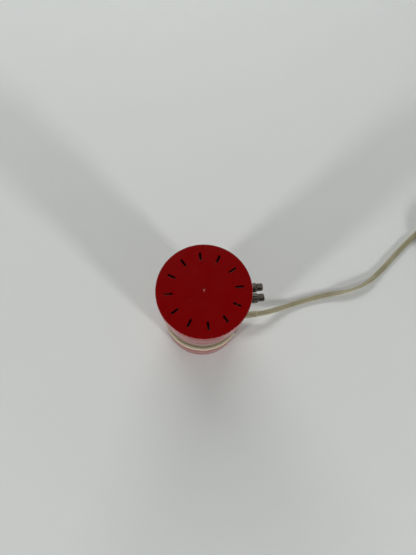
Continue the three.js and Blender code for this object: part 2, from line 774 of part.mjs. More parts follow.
add('transformer_core', transformerCore(), 'steel');
add('transformer_winding', transformerWinding(), 'copper');
add('transformer_strap', transformerStrap(), 'steel');
add('fuse_holder', fuseHolder(), 'black');
add('fuse', fuse(), 'glass');
add('terminal_block', terminalBlock(), 'white');
add('cord_clamp', cordClamp(), 'black');

// ---------------------------------------------------------------- wires inside
const WIRE = 1.6; // diameter of a wire

const WIRES = {
  lamp_wire: [[9, 9, BOARD_TOP + GAP], [9, 9, 38], [5, 5, 43], [0.6, 0.6, 46.5], [0, 0, SOCKET_BOTTOM - GAP]],
  speaker_wire: [
    [-13, 24, BOARD_TOP + GAP], [-13, 25.5, 38], [-13, 30, 46], [-13, 31, 60], [-13, 31, 80],
    [-13, 31, 98], [-12.5, 30, 106], [-12, 24, 111.5], [-10.5, 19, 114],
  ],
  control_wire: [
    [4.8, 24, BOARD_TOP + GAP], [4.8, 25.5, 38], [4.8, 31, 46], [4.8, 32, 60], [4.8, 32, 80],
    [4.8, 32.5, 96], [4.8, 33.4, KNOB_Z - CONTROL_RADIUS - GAP],
  ],
};

for (const [name, points] of Object.entries(WIRES)) {
  add(name, tube(points, WIRE, WIRE, 3 * (points.length - 1), 8), 'black');
}
const wireInside = [
  [CORD_X, 35.6, CORD_Z + 0.1],
  [CORD_X, 31, CORD_Z],
  [CORD_X, 27, CORD_Z - 0.1],
  [CORD_X, 23.3, CORD_Z - 0.2],
];
add('mains_wire', tube(wireInside, CORD_WIDTH, CORD_THICK, 6), 'beige');

// ---------------------------------------------------------------- mains cord
const RELIEF_END = 62;

function strainRelief() {
  return turnedAlongY([
    [0, 35.9],
    [4.2, 35.9],
    [4.2, INNER_RADIUS - 1],
    [3.2, INNER_RADIUS - 1],
    [3.2, DRUM_RADIUS + GAP],
    [5.4, DRUM_RADIUS + GAP],
    [5.4, DRUM_RADIUS + 1.6],
    [4.2, DRUM_RADIUS + 2.4],
    [3.7, 54],
    [3.4, RELIEF_END],
    [0, RELIEF_END],
  ], CORD_X, CORD_Z);
}

// The cord lies on the table from the strain relief to its coil.
const CORD_ROUTE = [
  [CORD_X, RELIEF_END + GAP, CORD_Z],
  [1.5, 71, 8.2],
  [0, 80, 6.1],
  [-2.1, 90.5, 3.8],
  [-4.7, 102, 2.2],
  [-7.5, 115, 1.7],
  [-9.6, 127, 1.7],
  [-11.3, 139, 1.8],
  [-12.6, 151, 2.1],
  [-13.5, 163, 2.6],
  [-14.5, 174, 3.1],
  [-17.0, 186, 3.1],
  [-22.0, 198, 2.9],
  [-29.5, 210.5, 2.1],
  [-38.5, 222.8, 1.7],
  [-48.5, 235, 1.7],
  [-58.3, 247.3, 1.7],
  [-67.2, 259.4, 1.7],
  [-75.4, 270.8, 1.7],
  [-80.9, 278.6, 2.2],
];
const COIL_CENTRE = [-60.0, 318.6];
const COIL = { inner: 27.3, outer: 42.1, bottom: 0.8, top: 13.3 };
const TIE = { angle: 300, wide: 6, thick: 0.5 };

function cordTie() {
  const slack = GAP + 0.3;
  const { inner, outer, bottom, top } = COIL;
  const place = (geometry) => geometry.rotateZ(radians(TIE.angle)).translate(...COIL_CENTRE, 0);
  const side = [-TIE.wide / 2, TIE.wide / 2];
  const band = block([inner - slack - 0.8, outer + slack + 0.4], side, [0, top + GAP + TIE.thick], place);
  const across = [inner - slack, outer + slack];
  const hole = block(across, [side[0] - 1, side[1] + 1], [bottom - GAP, top + GAP], place);
  return cut(band, hole);
}

// The cord's last stretch leaves the top of the coil and drops to the plug beside it.
const TAIL_ROUTE = [
  [-21.4, 342.8, 8.3],
  [-15.5, 338.7, 7.3],
  [-9.3, 333.1, 6.8],
  [-2.2, 325.3, 7],
];

// ---------------------------------------------------------------- plug
const PLUG = { x: -2, y: 325, z: 7, turn: -143, width: 35, thick: 13.7, neck: 12, depth: 24 };
const PIN = { side: 9.3, radius: 2, length: 19, tip: 0.8 };

// Made along +Y from the cord's entry at the origin, then laid beside the coil.
const layPlug = (geometry) => geometry.rotateZ(radians(PLUG.turn)).translate(PLUG.x, PLUG.y, PLUG.z);

function plugBody() {
  const { width, thick, neck, depth } = PLUG;
  const outline = new THREE.Shape();
  const corners = [[-6, neck - 3], [6, neck - 3], [13, neck + 3], [width / 2, neck + 14]];
  outline.moveTo(...corners[0]);
  for (const corner of corners.slice(1)) outline.lineTo(...corner);
  outline.lineTo(width / 2, neck + depth);
  outline.lineTo(-width / 2, neck + depth);
  outline.lineTo(-width / 2, neck + 14);
  outline.lineTo(-13, neck + 3);
  outline.closePath();
  const bevel = 1.2;
  const options = {
    depth: thick - 2 * bevel,
    bevelSize: bevel,
    bevelThickness: bevel,
    bevelOffset: -bevel,
    bevelSegments: 2,
    steps: 1,
  };
  const moulding = new THREE.ExtrudeGeometry(outline, options).translate(0, 0, -thick / 2 + bevel);
  const shell = solid(layPlug(moulding));
  const profile = [[0, 0], [3.6, 0], [5, neck], [0, neck]];
  const sleeve = turned(profile, SMALL_FACETS, (geometry) => layPlug(geometry.rotateX(-Math.PI / 2)));
  let whole = join(shell, sleeve);
  for (const side of [-1, 1]) {
    whole = cut(whole, plugRod(side, PIN.radius + GAP, [neck + depth - 6, neck + depth + 1]));
  }
  return whole;
}

// A rod along the plug's axis, with its tip chamfered.
function plugRod(side, radius, [start, end], tip = 0) {
  const edge = tip > 0 ? [[radius, end - tip], [radius - tip, end]] : [[radius, end]];
  const rod = [[0, start], [radius, start], ...edge, [0, end]];
  const lay = (geometry) => layPlug(geometry.rotateX(-Math.PI / 2).translate(PIN.side * side, 0, 0));
  return turned(rod, SMALL_FACETS, lay);
}

add('strain_relief', strainRelief(), 'beige');
add('mains_cord', tube(CORD_ROUTE, CORD_WIDTH, CORD_THICK, 56), 'beige');
add('cord_coil', turned(
  ringProfile(COIL.inner, COIL.outer, COIL.bottom, COIL.top),
  COIL_FACETS,
  (geometry) => geometry.translate(...COIL_CENTRE, 0),
), 'beige');
add('cord_tie', cordTie(), 'black');
add('cord_tail', tube(TAIL_ROUTE, CORD_WIDTH, CORD_THICK, 14), 'beige');
add('plug_body', plugBody(), 'beige');
[-1, 1].forEach((side, i) => {
  const start = PLUG.neck + PLUG.depth - 5.7;
  const end = PLUG.neck + PLUG.depth + PIN.length;
  add(`plug_pin_${i + 1}`, plugRod(side, PIN.radius, [start, end], PIN.tip), 'brass');
});

export default metronome;
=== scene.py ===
import math

import bmesh
import bpy
from mathutils import Matrix, Vector


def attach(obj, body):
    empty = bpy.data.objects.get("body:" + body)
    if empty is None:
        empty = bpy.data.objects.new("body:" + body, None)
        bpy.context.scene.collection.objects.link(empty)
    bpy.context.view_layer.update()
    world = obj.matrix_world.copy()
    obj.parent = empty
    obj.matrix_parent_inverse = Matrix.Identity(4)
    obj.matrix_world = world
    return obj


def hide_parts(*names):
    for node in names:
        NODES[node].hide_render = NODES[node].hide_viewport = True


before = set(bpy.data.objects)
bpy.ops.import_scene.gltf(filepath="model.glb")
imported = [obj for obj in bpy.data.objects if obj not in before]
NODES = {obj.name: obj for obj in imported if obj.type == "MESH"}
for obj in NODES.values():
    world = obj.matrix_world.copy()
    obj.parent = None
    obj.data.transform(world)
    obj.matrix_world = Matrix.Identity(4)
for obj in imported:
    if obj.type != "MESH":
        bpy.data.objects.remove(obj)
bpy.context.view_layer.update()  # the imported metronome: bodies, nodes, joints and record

MM = 0.001

# ------------------------------------------------------------------ sizes, in millimetres
RADIUS = 40.0
INNER = 38.0
LENS_OUTER = 37.7
LENS_INNER = 36.2
CORE = 35.9
TOP = 140.0
CAP_BOTTOM = 134.0
CAP_ROUND = 0.8
SPINE_HALF_ANGLE = 40.8
SCREW_ANGLES = (30, 150, 270)
KNOB_Z = 110.0
KNOB_XS = (-4.8, 4.8)
CORD_X = 2.0
CORD_Z = 9.2
ROUND_STEPS = 192  # facets round the drum


# ------------------------------------------------------------------ camera, at the photograph's angle
CAMERA_AT = Vector((0.0795, -0.0149, 0.4705))
CAMERA_LOOKS = Vector((-0.2621, 0.0562, -0.9634))
CAMERA_UP = Vector((-0.9584, 0.1021, 0.2667))
CAMERA_LENS = 26.98  # on a sensor 36 mm high


def make_camera():
    data = bpy.data.cameras.new("camera")
    data.sensor_width = 36
    data.lens = CAMERA_LENS
    data.clip_start = 0.01
    camera = bpy.data.objects.new("camera", data)
    bpy.context.scene.collection.objects.link(camera)
    back = -CAMERA_LOOKS.normalized()
    right = CAMERA_UP.cross(back).normalized()
    up = back.cross(right)
    turn = Matrix((right, up, back)).transposed().to_4x4()
    camera.matrix_world = Matrix.Translation(CAMERA_AT) @ turn
    bpy.context.scene.camera = camera


make_camera()


# ------------------------------------------------------------------ mesh helpers
def polar(radius, degrees):
    angle = math.radians(degrees)
    return radius * math.cos(angle), radius * math.sin(angle)


def link(name, mesh):
    piece = bpy.data.objects.new(name, mesh)
    bpy.context.scene.collection.objects.link(piece)
    return piece


def piece_of(name, points, faces):
    """A new object from points in millimetres and the faces between them."""
    mesh = bpy.data.meshes.new(name)
    mesh.from_pydata([Vector(p) * MM for p in points], [], faces)
    mesh.validate()
    return link(name, mesh)


def smooth(piece, degrees=35):
    """Smooth shading, with edges sharper than that kept crisp."""
    mesh = piece.data
    for polygon in mesh.polygons:
        polygon.use_smooth = True
    mesh.set_sharp_from_angle(angle=math.radians(degrees))


def filleted(corners, steps=5):
    """An outline of (across, up, radius) corners with each corner rounded to its radius."""
    outline = []
    count = len(corners)
    for i, (x, y, radius) in enumerate(corners):
        here = Vector((x, y))
        if radius <= 0:
            outline.append((x, y))
            continue
        before = (Vector(corners[i - 1][:2]) - here).normalized()
        after = (Vector(corners[(i + 1) % count][:2]) - here).normalized()
        half = before.angle(after) / 2
        centre = here + (before + after).normalized() * (radius / math.sin(half))
        start = here + before * (radius / math.tan(half)) - centre
        end = here + after * (radius / math.tan(half)) - centre
        sweep = start.angle_signed(end)
        for k in range(steps + 1):
            spoke = start.copy()
            spoke.rotate(Matrix.Rotation(-sweep * k / steps, 2))
            outline.append(tuple(centre + spoke))
    return outline


def skin(name, rings, closed_loop=False):
    """A closed mesh through rings of points; a ring of one point is a pole."""
    points, starts = [], []
    for ring in rings:
        starts.append(len(points))
        points.extend(ring)
    faces = []
    pairs = list(range(len(rings) - 1))
    if closed_loop:
        pairs.append(len(rings) - 1)
    for i in pairs:
        j = (i + 1) % len(rings)
        a, b = starts[i], starts[j]
        count = max(len(rings[i]), len(rings[j]))
        for k in range(count):
            n = (k + 1) % count
            if len(rings[i]) == 1:
                faces.append((a, b + n, b + k))
            elif len(rings[j]) == 1:
                faces.append((a + k, a + n, b))
            else:
                faces.append((a + k, a + n, b + n, b + k))
    piece = piece_of(name, points, faces)
    outward(piece)
    return piece


def outward(piece):
    """Turns the faces outwards."""
    work = bmesh.new()
    work.from_mesh(piece.data)
    bmesh.ops.recalc_face_normals(work, faces=work.faces)
    work.to_mesh(piece.data)
    work.free()


def revolve(name, outline, steps=ROUND_STEPS):
    """An outline of (radius, height) turned about Z. It is a loop, or runs from the axis to the axis."""
    on_axis = outline[0][0] == 0 and outline[-1][0] == 0
    rings = []
    for radius, height in outline:
        if radius == 0:
            rings.append([(0, 0, height)])
        else:
            spokes = [polar(radius, 360 * k / steps) for k in range(steps)]
            rings.append([(x, y, height) for x, y in spokes])
    return skin(name, rings, closed_loop=not on_axis)


def rod(name, radius, ends, steps):
    """A plain cylinder about Z between two heights."""
    low, high = ends
    return revolve(name, [(0, low), (radius, low), (radius, high), (0, high)], steps)


def along_y(piece, x, z):
    """Stands a piece that was made about Z along +Y instead, through (x, z)."""
    turn = Matrix.Translation((x * MM, 0, z * MM)) @ Matrix.Rotation(-math.pi / 2, 4, "X")
    piece.data.transform(turn)
    return piece


def box(name, xs, ys, zs, turn=0):
    """A block between the given x, y and z limits, turned about Z."""
    points = [(x, y, z) for x in xs for y in ys for z in zs]
    faces = [(0, 1, 3, 2), (4, 6, 7, 5), (0, 4, 5, 1), (2, 3, 7, 6), (0, 2, 6, 4), (1, 5, 7, 3)]
    piece = piece_of(name, points, faces)
    outward(piece)
    piece.data.transform(Matrix.Rotation(math.radians(turn), 4, "Z"))
    return piece


def wedge(name, radii, angles, heights, steps=64):
    """A sector of a ring."""
    inner, outer = radii
    start, end = angles
    rings = []
    for k in range(steps + 1):
        angle = start + (end - start) * k / steps
        low_in, low_out = polar(inner, angle), polar(outer, angle)
        bottom, top = heights
        rings.append([(*low_in, bottom), (*low_out, bottom), (*low_out, top), (*low_in, top)])
    points = [p for ring in rings for p in ring]
    faces = [(0, 1, 2, 3), tuple(4 * steps + i for i in (3, 2, 1, 0))]
    for k in range(steps):
        for i in range(4):
            n = (i + 1) % 4
            faces.append((4 * k + i, 4 * k + n, 4 * k + 4 + n, 4 * k + 4 + i))
    piece = piece_of(name, points, faces)
    outward(piece)
    return piece


def combine(piece, tool, operation):
    """Cuts a piece by a tool, or joins them, and deletes the tool."""
    modifier = piece.modifiers.new("combine", "BOOLEAN")
    modifier.operation = operation
    modifier.solver = "EXACT"
    modifier.object = tool
    bpy.context.view_layer.update()
    result = bpy.data.meshes.new_from_object(piece.evaluated_get(bpy.context.evaluated_depsgraph_get()))
    piece.modifiers.clear()
    piece.data = result
    bpy.data.objects.remove(tool)
    return piece


def cut(piece, *tools):
    for tool in tools:
        combine(piece, tool, "DIFFERENCE")
    return piece


def join(piece, *others):
    for other in others:
        combine(piece, other, "UNION")
    return piece


def soften(piece, wanted, width, segments=2, sharper_than=40):
    """Rounds the sharp edges whose middle, in millimetres, passes the test."""
    work = bmesh.new()
    work.from_mesh(piece.data)
    bmesh.ops.dissolve_degenerate(work, dist=1e-7, edges=work.edges)
    chosen = []
    for edge in work.edges:
        if len(edge.link_faces) == 2 and edge.calc_face_angle(0) > math.radians(sharper_than):
            middle = (edge.verts[0].co + edge.verts[1].co) / 2 / MM
            if wanted(middle):
                chosen.append(edge)
    bmesh.ops.bevel(
        work, geom=chosen, offset=width * MM, offset_type="OFFSET",
        segments=segments, profile=0.5, affect="EDGES", clamp_overlap=True,
    )
    work.to_mesh(piece.data)
    work.free()


def finished(piece, material, body="root", replaces=(), degrees=35):
    """Gives a piece its shading and its look, and sets it on its body."""
    if piece.type == "MESH":
        smooth(piece, degrees)
    if not piece.data.materials:
        piece.data.materials.append(material)
    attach(piece, body)
    if replaces:
        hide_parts(*replaces)
    return piece


# ------------------------------------------------------------------ material helpers
class Look:
    """A node material with object coordinates in metres, made piece by piece."""

    def __init__(self, name, colour, roughness, metallic=0.0, **settings):
        self.material = bpy.data.materials.new(name)
        self.material.use_nodes = True
        self.tree = self.material.node_tree
        self.shader = self.tree.nodes["Principled BSDF"]
        self.material.diffuse_color = (*colour, 1)
        self.set(self.shader, "Base Color", (*colour, 1))
        self.set(self.shader, "Roughness", roughness)
        self.set(self.shader, "Metallic", metallic)
        for socket, value in settings.items():
            self.set(self.shader, socket.replace("_", " "), value)
        self.place = self.add("ShaderNodeTexCoord").outputs["Object"]

    def set(self, node, socket, value):
        node.inputs[socket].default_value = value

    def add(self, kind, **settings):
        node = self.tree.nodes.new(kind)
        for key, value in settings.items():
            setattr(node, key, value)
        return node

    def wire(self, output, node, socket):
        self.tree.links.new(output, node.inputs[socket])

    def noise(self, size_mm, detail=3.0, stretch=(1, 1, 1)):
        """A cloudy pattern from 0 to 1 with features of that size."""
        place = self.add("ShaderNodeMapping")
        self.set(place, "Scale", stretch)
        self.wire(self.place, place, "Vector")
        pattern = self.add("ShaderNodeTexNoise")
        self.set(pattern, "Scale", 1 / (size_mm * MM))
        self.set(pattern, "Detail", detail)
        self.wire(place.outputs["Vector"], pattern, "Vector")
        return pattern.outputs["Fac"]

    def math(self, operation, first, second=0.5, third=None):
        node = self.add("ShaderNodeMath", operation=operation)
        for i, value in enumerate((first, second, third)):
            if value is None:
                continue
            if isinstance(value, (int, float)):
                node.inputs[i].default_value = value
            else:
                self.tree.links.new(value, node.inputs[i])
        return node.outputs[0]

    def span(self, value, low, high, to_low=0.0, to_high=1.0):
        """The value rescaled from one range to another, and kept inside it."""
        node = self.add("ShaderNodeMapRange")
        self.wire(value, node, "Value")
        for socket, number in (
            ("From Min", low), ("From Max", high), ("To Min", to_low), ("To Max", to_high),
        ):
            self.set(node, socket, number)
        return node.outputs["Result"]

    def blend(self, share, first, second):
        """The first colour where share is 0 and the second where it is 1."""
        node = self.add("ShaderNodeMix", data_type="RGBA")
        self.wire(share, node, "Factor")
        for socket, colour in (("A", first), ("B", second)):
            target = [s for s in node.inputs if s.name == socket and s.type == "RGBA"][0]
            if isinstance(colour, tuple):
                target.default_value = (*colour, 1)
            else:
                self.tree.links.new(colour, target)
        return [s for s in node.outputs if s.type == "RGBA"][0]

    def coordinates(self):
        node = self.add("ShaderNodeSeparateXYZ")
        self.wire(self.place, node, "Vector")
        return node.outputs

    def from_axis(self, x=0.0, z=None):
        """The distance in metres from the Z axis, or from the axis along Y at (x, z) in metres."""
        axes = self.coordinates()
        if z is None:
            across, other = axes["X"], axes["Y"]
        else:
            across = self.math("SUBTRACT", axes["X"], x)
            other = self.math("SUBTRACT", axes["Z"], z)
        squares = [self.math("MULTIPLY", a, a) for a in (across, other)]
        return self.math("SQRT", self.math("ADD", *squares))

    def bump(self, height, depth_mm, strength=1.0):
        node = self.add("ShaderNodeBump")
        self.set(node, "Strength", strength)
        self.set(node, "Distance", depth_mm * MM)
        self.wire(height, node, "Height")
        if self.shader.inputs["Normal"].links:
            self.wire(self.shader.inputs["Normal"].links[0].from_socket, node, "Normal")
        self.wire(node.outputs["Normal"], self.shader, "Normal")

    def colour(self, output):
        self.wire(output, self.shader, "Base Color")

    def rough(self, output):
        self.wire(output, self.shader, "Roughness")


# ------------------------------------------------------------------ materials
def red_plastic():
    look = Look("red_plastic", (0.22, 0.001, 0.002), 0.25, Specular_IOR_Level=0.42)
    clouds = look.noise(18, 4)
    tone = look.blend(clouds, (0.212, 0.0006, 0.0012), (0.232, 0.001, 0.0018))
    # Fine pale dust, and paler scuffs along the foot and the cap's rim.
    specks = look.span(look.noise(0.5, 2), 0.74, 0.8)
    dusty = look.math("MULTIPLY", specks, 0.12)
    height = look.coordinates()["Z"]
    foot = look.span(height, 0.0035, 0.0008)
    near_top = look.span(height, 0.1388, 0.1396)
    rim = look.math("MULTIPLY", near_top, look.span(look.from_axis(), 0.0388, 0.0395))
    scrapes = look.span(look.noise(2.2, 5), 0.52, 0.68)
    scuffed = look.math("MULTIPLY", look.math("MAXIMUM", foot, rim), scrapes)
    tone = look.blend(dusty, tone, (0.36, 0.2, 0.18))
    look.colour(look.blend(look.math("MULTIPLY", scuffed, 0.25), tone, (0.42, 0.08, 0.07)))
    smears = look.span(look.noise(9, 5, (1, 1, 0.35)), 0.3, 0.75, 0.17, 0.28)
    hairlines = look.span(look.noise(0.9, 3, (1, 0.06, 0.35)), 0.62, 0.75, 0.0, 0.03)
    look.rough(look.math("ADD", smears, look.math("ADD", hairlines, look.math("MULTIPLY", scuffed, 0.25))))
    look.bump(look.noise(3.5, 2), 0.02, 0.3)
    look.bump(look.noise(0.25, 2), 0.004, 0.25)
    return look.material


def gate_mark():
    look = Look("gate_mark", (0.62, 0.16, 0.14), 0.7, Specular_IOR_Level=0.0)
    look.colour(look.blend(look.noise(0.3, 2), (0.72, 0.2, 0.17), (0.55, 0.12, 0.1)))
    look.bump(look.noise(0.2, 2), 0.03)
    return look.material


def dusty_flash():
    """Brown-red flash left in a slot by the mould, under dust."""
    look = Look("dusty_flash", (0.2, 0.03, 0.015), 0.75, Specular_IOR_Level=0.1)
    dust_and_reflection = look.span(look.noise(1.1, 3), 0.35, 0.65)
    look.colour(look.blend(dust_and_reflection, (0.24, 0.04, 0.022), (0.12, 0.02, 0.008)))
    look.bump(look.noise(0.4, 3), 0.05)
    return look.material


def dark_jamb():
    """The sides of the window, dead matt from the mould."""
    look = Look("dark_jamb", (0.2, 0.001, 0.0015), 0.85, Specular_IOR_Level=0.0)
    look.colour(look.blend(look.noise(3, 3), (0.22, 0.001, 0.0015), (0.17, 0.0008, 0.001)))
    look.rough(look.span(look.noise(2, 3), 0.3, 0.7, 0.8, 0.92))
    look.bump(look.noise(0.4, 2), 0.01, 0.5)
    return look.material


def cream_plastic():
    look = Look(
        "cream_plastic", (0.58, 0.54, 0.39), 0.45, Specular_IOR_Level=0.3,
        Subsurface_Weight=0.15, Subsurface_Scale=0.002, Subsurface_Radius=(1.0, 0.75, 0.4),
    )
    tone = look.blend(look.noise(14, 4, (1, 1, 0.5)), (0.62, 0.58, 0.42), (0.54, 0.5, 0.355))
    # Painted shade: darker brown in the corner against the lens, broken up by noise.
    corner_shade = look.math("MULTIPLY", look.span(look.from_axis(), 0.0386, 0.0378), look.noise(3, 4))
    look.colour(look.blend(look.math("MULTIPLY", corner_shade, 0.5), tone, (0.2, 0.16, 0.1)))
    look.rough(look.span(look.noise(6, 4), 0.3, 0.7, 0.4, 0.55))
    look.bump(look.noise(5, 2, (1, 1, 0.2)), 0.03, 0.4)
    look.bump(look.noise(0.3, 2), 0.008, 0.4)
    return look.material


def lens_plastic():
    """Glossy deep red, nearly black where no light comes through."""
    look = Look("lens_plastic", (0.09, 0.007, 0.004), 0.1, Specular_IOR_Level=0.65)
    tone = look.blend(look.noise(16, 4, (1, 1, 0.4)), (0.1, 0.008, 0.005), (0.075, 0.006, 0.004))
    # Painted reflection of the cream ring: paler tan towards the foot of the lens, broken up by noise.
    dust_and_reflection = look.math("MULTIPLY", look.span(look.coordinates()["Z"], 0.056, 0.0525), look.noise(2.5, 4))
    look.colour(look.blend(look.math("MULTIPLY", dust_and_reflection, 0.3), tone, (0.3, 0.22, 0.15)))
    look.rough(look.span(look.noise(7, 4, (1, 1, 0.3)), 0.3, 0.7, 0.07, 0.14))
    look.bump(look.noise(6, 2, (1, 1, 0.4)), 0.01, 0.3)
    return look.material


def cord_vinyl(name="cord_vinyl", light=1.0):
    colour = tuple(light * c for c in (0.33, 0.3, 0.19))
    look = Look(name, colour, 0.48)
    pale = tuple(light * c for c in (0.37, 0.335, 0.215))
    dark = tuple(light * c for c in (0.27, 0.24, 0.145))
    tone = look.blend(look.span(look.noise(22, 4), 0.3, 0.7), pale, dark)
    grime = look.span(look.noise(1.6, 5), 0.58, 0.75, 0.0, 0.4)
    look.colour(look.blend(grime, tone, tuple(0.5 * c for c in colour)))
    look.rough(look.span(look.noise(4, 3), 0.3, 0.7, 0.4, 0.6))
    look.bump(look.noise(0.5, 3), 0.02, 0.5)
    return look.material


def chrome(name, x=0.0, fluted=False, painted_shade_scale=1.0):
    """Aged, tarnished chrome plate. Round a knob at x, the flute valleys are painted dark brown as shade."""
    look = Look(name, (0.22, 0.19, 0.16), 0.16, 1.0)
    smudge = look.noise(1.4, 5)
    bright = tuple(painted_shade_scale * c for c in (0.2, 0.178, 0.153))
    dull = tuple(painted_shade_scale * c for c in (0.075, 0.06, 0.048))
    tone = look.blend(look.span(smudge, 0.35, 0.7), bright, dull)
    pits = look.span(look.noise(0.16, 1), 0.7, 0.78)
    dark = look.math("MULTIPLY", pits, 0.6)
    if fluted:
        # Painted shade: dark brown in the skirt's flute valleys, and on the grip wherever the surface lies
        # inside its crests, the domed end included.
        reach = look.from_axis(x * MM, KNOB_Z * MM)
        skirt = look.math("MULTIPLY", look.span(reach, 0.00438, 0.0042), look.span(reach, 0.0037, 0.0039))
        grip = look.span(reach, 0.00346, 0.0032)
        ragged = look.span(look.noise(0.6, 3), 0.3, 0.6, 0.6, 1.0)
        dark = look.math("MAXIMUM", dark, look.math("MULTIPLY", look.math("MAXIMUM", skirt, grip), ragged))
    look.colour(look.blend(look.math("MULTIPLY", dark, 0.85), tone, (0.04, 0.03, 0.022)))
    look.rough(look.math("ADD", look.span(smudge, 0.3, 0.75, 0.07, 0.18), look.math("MULTIPLY", dark, 0.35)))
    look.bump(look.noise(0.5, 3), 0.01, 0.4)
    return look.material


def metal(name, colour, roughness, grain=(1, 1, 8)):
    """Plain metal with a drawn grain and dull stains."""
    look = Look(name, colour, roughness, 1.0)
    stain = look.span(look.noise(5, 5), 0.4, 0.75)
    look.colour(look.blend(look.math("MULTIPLY", stain, 0.6), colour, tuple(0.6 * c for c in colour)))
    streaks = look.noise(0.5, 3, grain)
    look.rough(look.span(streaks, 0.3, 0.7, roughness - 0.1, roughness + 0.12))
    look.bump(streaks, 0.008, 0.5)
    return look.material


def moulded(name, colour, roughness, texture_mm=0.35):
    """Moulded plastic or rubber with a fine spark texture and a trace of dust."""
    look = Look(name, colour, roughness)
    paler = tuple(min(1.0, c * 1.25 + 0.004) for c in colour)
    tone = look.blend(look.span(look.noise(7, 4), 0.35, 0.7), colour, paler)
    dust_and_reflection = look.span(look.noise(0.9, 4), 0.62, 0.8, 0.0, 0.14)
    look.colour(look.blend(dust_and_reflection, tone, tuple(0.5 * c + 0.16 for c in colour)))
    look.rough(look.span(look.noise(3, 3), 0.3, 0.7, roughness - 0.07, roughness + 0.1))
    look.bump(look.noise(texture_mm, 2), 0.02, 0.5)
    return look.material


def woven(name, colour, pitch_mm):
    """Plain-weave cloth in the XY plane."""
    look = Look(name, colour, 0.9)
    axes = look.coordinates()
    turns = 2 * math.pi / (pitch_mm * MM)
    across = look.math("SINE", look.math("MULTIPLY", axes["X"], turns))
    up = look.math("SINE", look.math("MULTIPLY", axes["Y"], turns))
    thread = look.span(look.math("MULTIPLY", across, up), -1, 1)
    tone = look.blend(thread, tuple(0.4 * c for c in colour), tuple(1.5 * c for c in colour))
    dust_and_reflection = look.math("MULTIPLY", look.noise(4, 4), 0.4)
    look.colour(look.blend(dust_and_reflection, tone, tuple(2.2 * c for c in colour)))
    look.bump(thread, 0.12)
    return look.material


def laminate():
    """Green circuit board with paler copper tracks under the varnish."""
    look = Look("laminate", (0.06, 0.16, 0.05), 0.4)
    cells = look.add("ShaderNodeTexVoronoi", feature="DISTANCE_TO_EDGE", distance="CHEBYCHEV")
    look.set(cells, "Scale", 1 / (5.5 * MM))
    look.wire(look.place, cells, "Vector")
    track = look.span(cells.outputs["Distance"], 0.07, 0.1, 1.0, 0.0)
    tone = look.blend(look.noise(8, 4), (0.05, 0.15, 0.045), (0.075, 0.19, 0.06))
    look.colour(look.blend(look.math("MULTIPLY", track, 0.75), tone, (0.16, 0.3, 0.08)))
    look.rough(look.span(look.noise(3, 3), 0.3, 0.7, 0.3, 0.45))
    look.bump(track, 0.04)
    return look.material


def winding_tape():
    """Amber tape over a coil of wire, with its layers showing as fine ridges."""
    look = Look("winding_tape", (0.5, 0.2, 0.04), 0.35)
    layers = look.math("SINE", look.math("MULTIPLY", look.coordinates()["Z"], 2 * math.pi / (0.9 * MM)))
    ridge = look.span(layers, -1, 1)
    tone = look.blend(look.noise(6, 4), (0.52, 0.22, 0.045), (0.4, 0.14, 0.03))
    look.colour(look.blend(look.math("MULTIPLY", ridge, 0.3), tone, (0.28, 0.09, 0.02)))
    look.rough(look.span(look.noise(2, 3), 0.3, 0.7, 0.28, 0.45))
    look.bump(ridge, 0.06, 0.6)
    return look.material


def glass(name, colour, roughness):
    look = Look(name, colour, roughness, Transmission_Weight=0.75, IOR=1.5)
    haze = look.noise(5, 4)
    look.colour(look.blend(haze, colour, tuple(0.9 * c for c in colour)))
    look.rough(look.span(haze, 0.3, 0.7, roughness * 0.8, roughness * 1.3 + 0.02))
    look.bump(look.noise(1.5, 2), 0.01, 0.3)
    return look.material


RED = red_plastic()
GATE = gate_mark()
CREAM = cream_plastic()
JAMB = dark_jamb()
FLASH = dusty_flash()
LENS_RED = lens_plastic()
VINYL = cord_vinyl()
PLUG_VINYL = cord_vinyl("plug_vinyl", 1.12)
STEEL = metal("zinc_steel", (0.55, 0.56, 0.57), 0.38)
NICKEL = metal("nickel", (0.7, 0.68, 0.64), 0.24, (1, 6, 1))
BRASS = metal("brass", (0.66, 0.47, 0.18), 0.3)
BLACK = moulded("black_plastic", (0.018, 0.018, 0.02), 0.45)
WHITE = moulded("white_plastic", (0.72, 0.72, 0.69), 0.45)
RUBBER = moulded("pad_rubber", (0.025, 0.025, 0.025), 0.72, 0.6)
PAPER = moulded("speaker_paper", (0.045, 0.04, 0.036), 0.85, 0.5)
CLOTH = woven("speaker_cloth", (0.016, 0.015, 0.014), 0.9)
BOARD = laminate()
WINDING = winding_tape()
LAMP_GLASS = glass("lamp_glass", (0.93, 0.91, 0.86), 0.35)
FUSE_GLASS = glass("fuse_glass", (0.9, 0.93, 0.92), 0.05)


# ------------------------------------------------------------------ the mains cord
CORD_WIDTH = 6.0
CORD_THICK = 3.2
RELIEF_END = 62.0
CORD_START = (CORD_X, 43.0, CORD_Z)  # inside the strain relief
# The route over the table in millimetres, and the flex's roll there: 0 is flat, 90 is on its edge.
CORD_ROUTE = [
    (CORD_X, RELIEF_END + 0.3, CORD_Z, 0),
    (1.5, 71, 8.2, 0),
    (0, 80, 6.1, 0),
    (-2.1, 90.5, 3.8, 0),
    (-4.7, 102, 2.2, 0),
    (-7.5, 115, 1.7, 0),
    (-9.6, 127, 1.7, 0),
    (-11.3, 139, 1.8, 4),
    (-12.6, 151, 2.1, 14),
    (-13.5, 163, 2.6, 40),
    (-14.5, 174, 3.1, 78),
    (-17.0, 186, 3.1, 84),
    (-22.0, 198, 2.9, 58),
    (-29.5, 210.5, 2.1, 16),
    (-38.5, 222.8, 1.7, 0),
    (-48.5, 235, 1.7, 0),
    (-58.3, 247.3, 1.7, 0),
    (-67.2, 259.4, 1.7, 0),
    (-75.4, 270.8, 1.7, 4),
    (-80.9, 278.6, 2.2, 30),
    (-86.8, 287.0, 3.2, 66),
]
COIL_CENTRE = (-60.0, 318.6)
